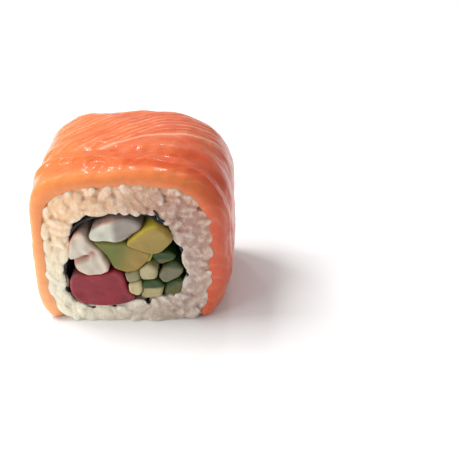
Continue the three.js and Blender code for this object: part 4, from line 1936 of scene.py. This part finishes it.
@dataclass(frozen=True)
class Crease:
    """A dent along a line of the front cut face, or a ridge where its depth is less than 0."""

    start: tuple[float, float]
    end: tuple[float, float]
    depth: float
    width: float

    def dent(self, x: Array, z: Array) -> Array:
        """Works out how deep the crease is at places of the cut face.

        Args:
            x: Their x on the straight roll, in millimetres.
            z: Their z.

        Returns:
            The depths, in millimetres.
        """
        start, end = np.array(self.start), np.array(self.end)
        way = end - start
        place = np.stack([x, z], axis=-1) - start
        along = np.clip(place @ way / (way @ way), 0, 1)
        away = np.linalg.norm(place - along[..., None] * way, axis=-1)
        return self.depth * np.exp(-((away / self.width) ** 2))


@dataclass(frozen=True)
class Filling:
    """A filling: a softened copy of its CAD solid, with the relief of its cut faces."""

    node: str
    finish: FillingFinish
    creases: tuple[Crease, ...] = ()
    slope: tuple[float, float] = (0.0, 0.0)
    recess: float = 0.0
    uneven: float = 0.12
    uneven_size: float = 3.0
    voxel: float = 0.2
    smoothing: int = 1
    swelling: float = 0.2
    dent_fades: tuple[float, float] = (0.2, 3.0)
    # Where the painted shade in the creases fades out behind the front cut.
    crease_shade_fades: tuple[float, float] = (0.5, 4.0)
    rough_reach: tuple[float, float] = (4.0, 0.5)
    seed: int = 1

    def build(self) -> bpy.types.Object:
        """Builds the filling from its node.

        Returns:
            The piece, which keeps each vertex's distance from its sides.
        """
        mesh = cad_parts[self.node].data.copy()
        mesh.materials.clear()
        shell = bmesh.new()
        shell.from_mesh(mesh)
        bmesh.ops.remove_doubles(shell, verts=shell.verts, dist=MM / 1000)
        shell.to_mesh(mesh)
        shell.free()
        copy = bpy.data.objects.new("copy", mesh)
        bpy.context.scene.collection.objects.link(copy)
        piece = fused(copy, f"{self.node}_flesh", self.voxel, self.smoothing)
        facing = vertex_facings(piece.data)
        points = straightened(vertex_places(piece.data) + facing * self.swelling * MM)
        store_number(piece.data, "inward", self.inward(facing, points))
        store_number(piece.data, "crease", self.creased(points))
        move_vertices(piece.data, settled(self.carved(points)))
        return piece

    @staticmethod
    def inward(facing: Array, points: Array) -> Array:
        """Measures how far each vertex lies from the sides.

        Args:
            facing: Which way each vertex faces.
            points: The vertices on the straight roll.

        Returns:
            The distances, in millimetres.
        """
        faces_aside = np.abs(facing[:, 1]) < 0.3
        near_middle = np.abs(points[:, 1]) < 3.0
        sides = np.flatnonzero(faces_aside & near_middle)
        tree = KDTree(len(sides))
        for k, i in enumerate(sides):
            tree.insert((points[i, 0], points[i, 2], 0.0), k)
        tree.balance()
        return np.array([tree.find((p[0], p[2], 0.0))[2] for p in points])

    def creased(self, points: Array) -> Array:
        """Works out how far each vertex lies in a crease of the front cut, from 0 to 1.

        Args:
            points: Vertices on the straight roll.

        Returns:
            A share for each.
        """
        x, y, z = points.T
        dents = [crease.dent(x, z) / crease.depth for crease in self.creases if crease.depth > 0]
        front = 1 - smooth(*(-HALF + reach for reach in self.crease_shade_fades), y)
        return np.max([np.zeros_like(x), *dents], axis=0) * front

    def carved(self, points: Array) -> Array:
        """Gives the cut faces their relief, and the sides some unevenness.

        Args:
            points: Vertices on the straight roll.

        Returns:
            The moved vertices.
        """
        x, y, z = points.T
        middle = np.array([(x.max() + x.min()) / 2, (z.max() + z.min()) / 2])
        front = 1 - smooth(*(-HALF + reach for reach in self.dent_fades), y)
        dent = sum((crease.dent(x, z) for crease in self.creases), np.zeros_like(x))
        dent = dent + self.recess + self.slope[0] * (x - middle[0]) + self.slope[1] * (z - middle[1])
        ends = smooth(*(HALF - reach for reach in self.rough_reach), np.abs(y))
        rough = self.uneven * Ripple(self.uneven_size, self.seed).at(points)
        moved = points.copy()
        moved[:, 1] += front * dent + ends * rough
        return moved

    def dress(self, piece: bpy.types.Object) -> None:
        """Gives the filling its finish and its body, and hides its CAD node.

        Args:
            piece: The filling.
        """
        piece.data.materials.append(self.finish.material())
        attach(piece, "root")
        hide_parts(self.node)


CRAB = FillingFinish(
    slot="crab_stick", roughness=0.4, coat=0.25, depth=0.4, glow=(0.9, 0.85, 0.7), glow_reach=1.2,
)
CRAB_TOP = replace(
    CRAB, name="crab_top_flesh", relief=0.14,
    flesh=tint(206, 204, 188), second=tint(186, 184, 170), second_share=0.6,
    # The right facet's darker grey is painted shade.
    side=tint(156, 142, 134), side_share=0.9, side_from=-3.6, side_to=-2.0,
    rim=tint(182, 74, 58), rim_width=0.35, rim_share=0.6,
    rim_way=(-0.5, 1.0), rim_from=28.2, rim_to=30.0,
)
CRAB_LEFT = replace(
    CRAB, name="crab_left_flesh", relief=0.16,
    flesh=tint(206, 200, 182), second=tint(204, 172, 158), second_share=0.45, cloud_size=2.4,
    rim=tint(204, 110, 92), rim_width=0.6, rim_share=0.6,
    # The pinkish red in its creases is painted shade.
    rim_way=(-1.0, -0.6), rim_from=-8.0, rim_to=-1.5, crease_shade=tint(196, 96, 82), crease_shade_share=0.6,
)
AVOCADO = FillingFinish(
    slot="avocado", roughness=0.45, coat=0.12, depth=0.2, glow=(1.0, 0.8, 0.2), glow_reach=0.8,
    relief=0.1, second_share=0.6, streak_length=2.0,
)
AVOCADO_MIDDLE = replace(
    AVOCADO, name="avocado_middle_flesh",
    flesh=tint(160, 130, 58), second=tint(146, 116, 46), cloud_size=2.6, streak_turn=0.5,
    side=tint(104, 110, 34), side_share=1.0, side_way=(-1.0, 0.35), side_from=3.6, side_to=10.0,
    rim=tint(112, 106, 34), rim_width=0.4, rim_share=0.4,
)
AVOCADO_RIGHT = replace(
    AVOCADO, name="avocado_right_flesh",
    flesh=tint(168, 142, 62), second=tint(154, 124, 52), cloud_size=2.2, streak_turn=-0.5,
    side=tint(140, 118, 58), side_share=0.5, side_way=(0.3, -1.0), side_from=-24.0, side_to=-18.5,
    # The brighter yellow rim at the upper left is a painted highlight.
    rim=tint(186, 172, 54), rim_width=0.5, rim_share=0.6,
    rim_way=(-0.75, 1.0), rim_from=20.0, rim_to=22.5,
)
AVOCADO_SLIVER = FillingFinish(
    name="avocado_sliver_flesh", slot="avocado", roughness=0.4, coat=0.2, depth=0.25,
    glow=(1.0, 0.8, 0.2), glow_reach=0.6, relief=0.1,
    flesh=tint(158, 160, 44), second=tint(126, 136, 38), second_share=0.6, cloud_size=1.2,
)
TUNA = FillingFinish(
    name="tuna_flesh", slot="tuna", roughness=0.42, specular=0.35, coat=0.15, depth=0.3,
    glow=(1.0, 0.25, 0.25), glow_reach=1.2, relief=0.14,
    flesh=tint(150, 38, 52), second=tint(124, 26, 42), second_share=0.7, cloud_size=1.3,
    streak_turn=0.35, streak_length=3.5,
    side=tint(104, 42, 54), side_share=0.75, side_way=(0.5, -1.0), side_from=-9.0, side_to=-3.0,
    rim=tint(150, 104, 106), rim_width=0.7, rim_share=0.6,
    rim_way=(-1.0, 0.0), rim_from=9.5, rim_to=12.5,
)
CUCUMBER = FillingFinish(
    slot="cucumber", roughness=0.35, specular=0.35, coat=0.2, depth=0.35, glow=(0.9, 1.0, 0.5),
    glow_reach=0.6, relief=0.12, second_share=0.6, cloud_size=1.5, side=tint(30, 64, 8),
    rim=tint(136, 140, 82), rim_width=0.35, rim_share=0.35,
)


@dataclass(frozen=True)
class Skin:
    """Where a cucumber baton's skin lies, in millimetres across its cut face: usually nowhere."""

    share: float = 0.0
    way: tuple[float, float] = (0.0, 1.0)
    start: float = 40.0
    end: float = 41.0


def cucumber(
    number: int, flesh: Colour, second: Colour, slope: tuple[float, float], recess: float = 0.0,
    skin: Skin = Skin(),
) -> Filling:
    """Makes one cucumber baton.

    Args:
        number: Its number, from 1.
        flesh: Its flesh.
        second: The tone that clouds its flesh.
        slope: How its cut face leans, towards x and z.
        recess: How far its cut face lies back, in millimetres.
        skin: Where its skin lies.

    Returns:
        The baton.
    """
    finish = replace(
        CUCUMBER, name=f"cucumber_{number}_flesh", flesh=flesh, second=second,
        side_share=skin.share, side_way=skin.way, side_from=skin.start, side_to=skin.end,
        rim_way=(-skin.way[0], -skin.way[1]), rim_from=-skin.end, rim_to=-skin.start,
    )
    return Filling(f"cucumber_{number}", finish, slope=slope, recess=recess, seed=number + 6)


FILLINGS = (
    Filling(
        "crab_stick_top", CRAB_TOP,
        creases=(Crease((-3.0, 27.5), (-2.2, 22.4), -0.5, 1.4),), slope=(0.05, -0.02), seed=2,
    ),
    Filling(
        "crab_stick_left", CRAB_LEFT,
        creases=(
            Crease((-11.8, 16.9), (-8.6, 18.0), 1.3, 0.6),
            Crease((-8.6, 18.0), (-7.2, 19.4), 0.6, 0.6),
        ),
        uneven=0.25, seed=3,
    ),
    Filling("avocado_middle", AVOCADO_MIDDLE, uneven=0.08, seed=4),
    Filling("avocado_right", AVOCADO_RIGHT, slope=(0.05, 0.0), uneven=0.08, seed=5),
    Filling("tuna", TUNA, uneven=0.14, uneven_size=4.0, seed=6),
    # The batons' flesh tones are partly their own and partly painted shade, darkest on batons 5, 6 and
    # 7.
    cucumber(1, tint(156, 148, 114), tint(140, 134, 98), (0.15, 0.1), 0.25),
    cucumber(2, tint(178, 166, 128), tint(158, 148, 106), (-0.15, -0.1)),
    cucumber(3, tint(204, 190, 146), tint(188, 172, 124), (0.1, 0.2)),
    cucumber(
        4, tint(182, 168, 124), tint(162, 152, 100), (0.0, -0.22),
        skin=Skin(0.97, (-0.1, 1.0), 8.3, 9.2),
    ),
    cucumber(
        5, tint(128, 122, 94), tint(106, 104, 76), (0.2, 0.1), 0.5,
        skin=Skin(0.8, (0.25, 1.0), 16.2, 17.4),
    ),
    cucumber(
        6, tint(98, 96, 50), tint(78, 82, 34), (0.1, -0.25),
        skin=Skin(0.97, (0.0, 1.0), 16.4, 17.4),
    ),
    cucumber(
        7, tint(92, 92, 44), tint(72, 78, 30), (-0.2, 0.15), 0.45,
        skin=Skin(0.9, (-0.5, 1.0), 4.4, 5.6),
    ),
)


@dataclass(frozen=True)
class Sliver:
    """A thin torn sliver of avocado, wedged between the right slice and the cucumber in front."""

    outline: tuple[tuple[float, float], ...] = (
        (4.5, 16.5), (5.3, 16.6), (5.7, 17.6), (6.3, 18.9),
        (6.6, 20.0), (5.9, 20.2), (5.2, 19.2), (4.7, 17.9),
    )
    sizes: tuple[tuple[float, float], ...] = (
        (0.0, 0.86), (0.04, 1.0), (0.3, 0.95), (0.65, 0.8), (1.0, 0.4),
    )
    start: float = 0.35
    length: float = 7.0
    lean: float = 0.25
    voxel: float = 0.16
    smoothing: int = 2
    finish: FillingFinish = AVOCADO_SLIVER

    def build(self) -> bpy.types.Object:
        """Builds the sliver, thinner towards its hidden end.

        Returns:
            The sliver.
        """
        loop = np.array(self.outline)
        middle = loop.mean(axis=0)
        rings = []
        for share, size in self.sizes:
            face = middle + (loop - middle) * size
            lean = self.lean * (loop[:, 1] - middle[1]) * (1 - share)
            y = -HALF + self.start + self.length * share + lean
            rings.append(np.stack([face[:, 0], y, face[:, 1]], axis=-1))
        faces = capped(len(rings), len(loop))
        rough = new_mesh_object("sliver", settled(np.concatenate(rings)), faces)
        piece = fused(rough, "avocado_sliver", self.voxel, self.smoothing)
        store_number(piece.data, "inward", np.full(len(piece.data.vertices), 1.0))
        store_number(piece.data, "crease", np.zeros(len(piece.data.vertices)))
        return piece

    def dress(self, piece: bpy.types.Object) -> None:
        """Gives the sliver its finish and its body.

        Args:
            piece: The sliver.
        """
        piece.data.materials.append(self.finish.material())
        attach(piece, "root")


@dataclass
class Studio:
    """The floor, the lights and the camera."""

    lens_angle: float = 27.0
    elevation: float = 33.5
    azimuth: float = 2.5
    camera_place: tuple[float, float, float] = (29.745, -187.272, 139.830)
    sky: float = 0.42
    floor_reach: float = 3.0
    aim: tuple[float, float, float] = (0.0, 0.0, 0.02)
    spark_places: tuple[tuple[float, float, float], ...] = (
        (-0.38, 0.06, 0.26), (-0.12, 0.24, 0.42), (0.05, 0.31, 0.38), (-0.27, 0.18, 0.38),
    )

    def build(self) -> None:
        """Sets up everything that isn't the roll."""
        self.floor()
        self.lights()
        self.camera()

    def floor(self) -> None:
        """Lays a wide pale floor."""
        reach = self.floor_reach
        corners = np.array([(x, y, 0) for x, y in ((-1, -1), (1, -1), (1, 1), (-1, 1))]) * reach
        piece = new_mesh_object("floor", corners, [(0, 1, 2, 3)])
        if piece.data.polygons[0].normal.z < 0:
            piece.data.flip_normals()
        material = bpy.data.materials.new("pale_floor")
        material.use_nodes = True
        bench = NodeBench(material.node_tree)
        shader = material.node_tree.nodes["Principled BSDF"]
        place = bench.add("ShaderNodeTexCoord").outputs["Object"]
        clouds = SHELF.place(bench, Effect.CLOUDS, place=place, size=40.0, low=0.3, high=0.7)
        tone = bench.blend(clouds, tint(250, 250, 250), tint(252, 252, 252))
        bench.feed(shader.inputs["Base Color"], tone)
        shader.inputs["Roughness"].default_value = 0.9
        piece.data.materials.append(material)

    def lights(self) -> None:
        """Lights the room, and hangs a softbox overhead, one on the left and four small lamps.

        Wet surfaces mirror only the small lamps.
        """
        world = bpy.data.worlds.new("studio")
        world.use_nodes = True
        background = world.node_tree.nodes["Background"]
        background.inputs["Color"].default_value = (1, 1, 1, 1)
        background.inputs["Strength"].default_value = self.sky
        bpy.context.scene.world = world
        self.softbox("overhead", (-0.24, 0.04, 0.42), 0.24, 2.0, mirrored=False)
        self.softbox("left", (-0.34, -0.26, 0.16), 0.2, 0.7, mirrored=False)
        for place in self.spark_places:
            self.softbox("spark", place, 0.04, 0.14)

    def softbox(
        self, name: str, place: tuple[float, float, float], size: float, power: float,
        mirrored: bool = True,
    ) -> None:
        """Hangs a square lamp that faces the roll.

        Args:
            name: The lamp's name.
            place: Where it hangs, in metres.
            size: Its side, in metres.
            power: Its power, in watts.
            mirrored: Whether wet surfaces mirror it.
        """
        lamp = bpy.data.lights.new(name, "AREA")
        lamp.size = size
        lamp.energy = power
        holder = bpy.data.objects.new(name, lamp)
        holder.location = place
        holder.visible_glossy = mirrored
        towards = Vector(self.aim) - Vector(place)
        holder.rotation_euler = towards.to_track_quat("-Z", "Y").to_euler()
        bpy.context.scene.collection.objects.link(holder)

    def camera(self) -> None:
        """Sets the camera at the photograph's viewing angle."""
        lens = bpy.data.cameras.new("camera")
        lens.sensor_fit = "HORIZONTAL"
        lens.angle = math.radians(self.lens_angle)
        lens.clip_start = 0.01
        holder = bpy.data.objects.new("camera", lens)
        holder.location = Vector(self.camera_place) * MM
        up, turn = math.radians(self.elevation), math.radians(self.azimuth)
        back = Vector((math.sin(turn) * math.cos(up), -math.cos(turn) * math.cos(up), math.sin(up)))
        holder.rotation_euler = (-back).to_track_quat("-Z", "Y").to_euler()
        bpy.context.scene.collection.objects.link(holder)
        bpy.context.scene.camera = holder
        bpy.context.scene.view_settings.view_transform = "Standard"


def report(piece: bpy.types.Object) -> None:
    """Logs a finished piece."""
    LOG.info("%s: %d faces", piece.name, len(piece.data.polygons))


def main() -> None:
    """Builds and dresses each sub-assembly in order, and reports each piece."""
    logging.basicConfig(level=logging.INFO, format="%(name)s: %(message)s")
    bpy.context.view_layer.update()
    Studio().build()
    for salmon in (FrontSlice(), BackSlice()):
        piece = salmon.build()
        salmon.dress(piece)
        report(piece)
    rice = RicePack()
    halves = rice.build()
    rice.dress(halves)
    for piece in halves:
        report(piece)
    for part in (NoriSheet(), *FILLINGS, Sliver()):
        piece = part.build()
        part.dress(piece)
        report(piece)
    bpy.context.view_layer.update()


if __name__ == "__main__":
    main()
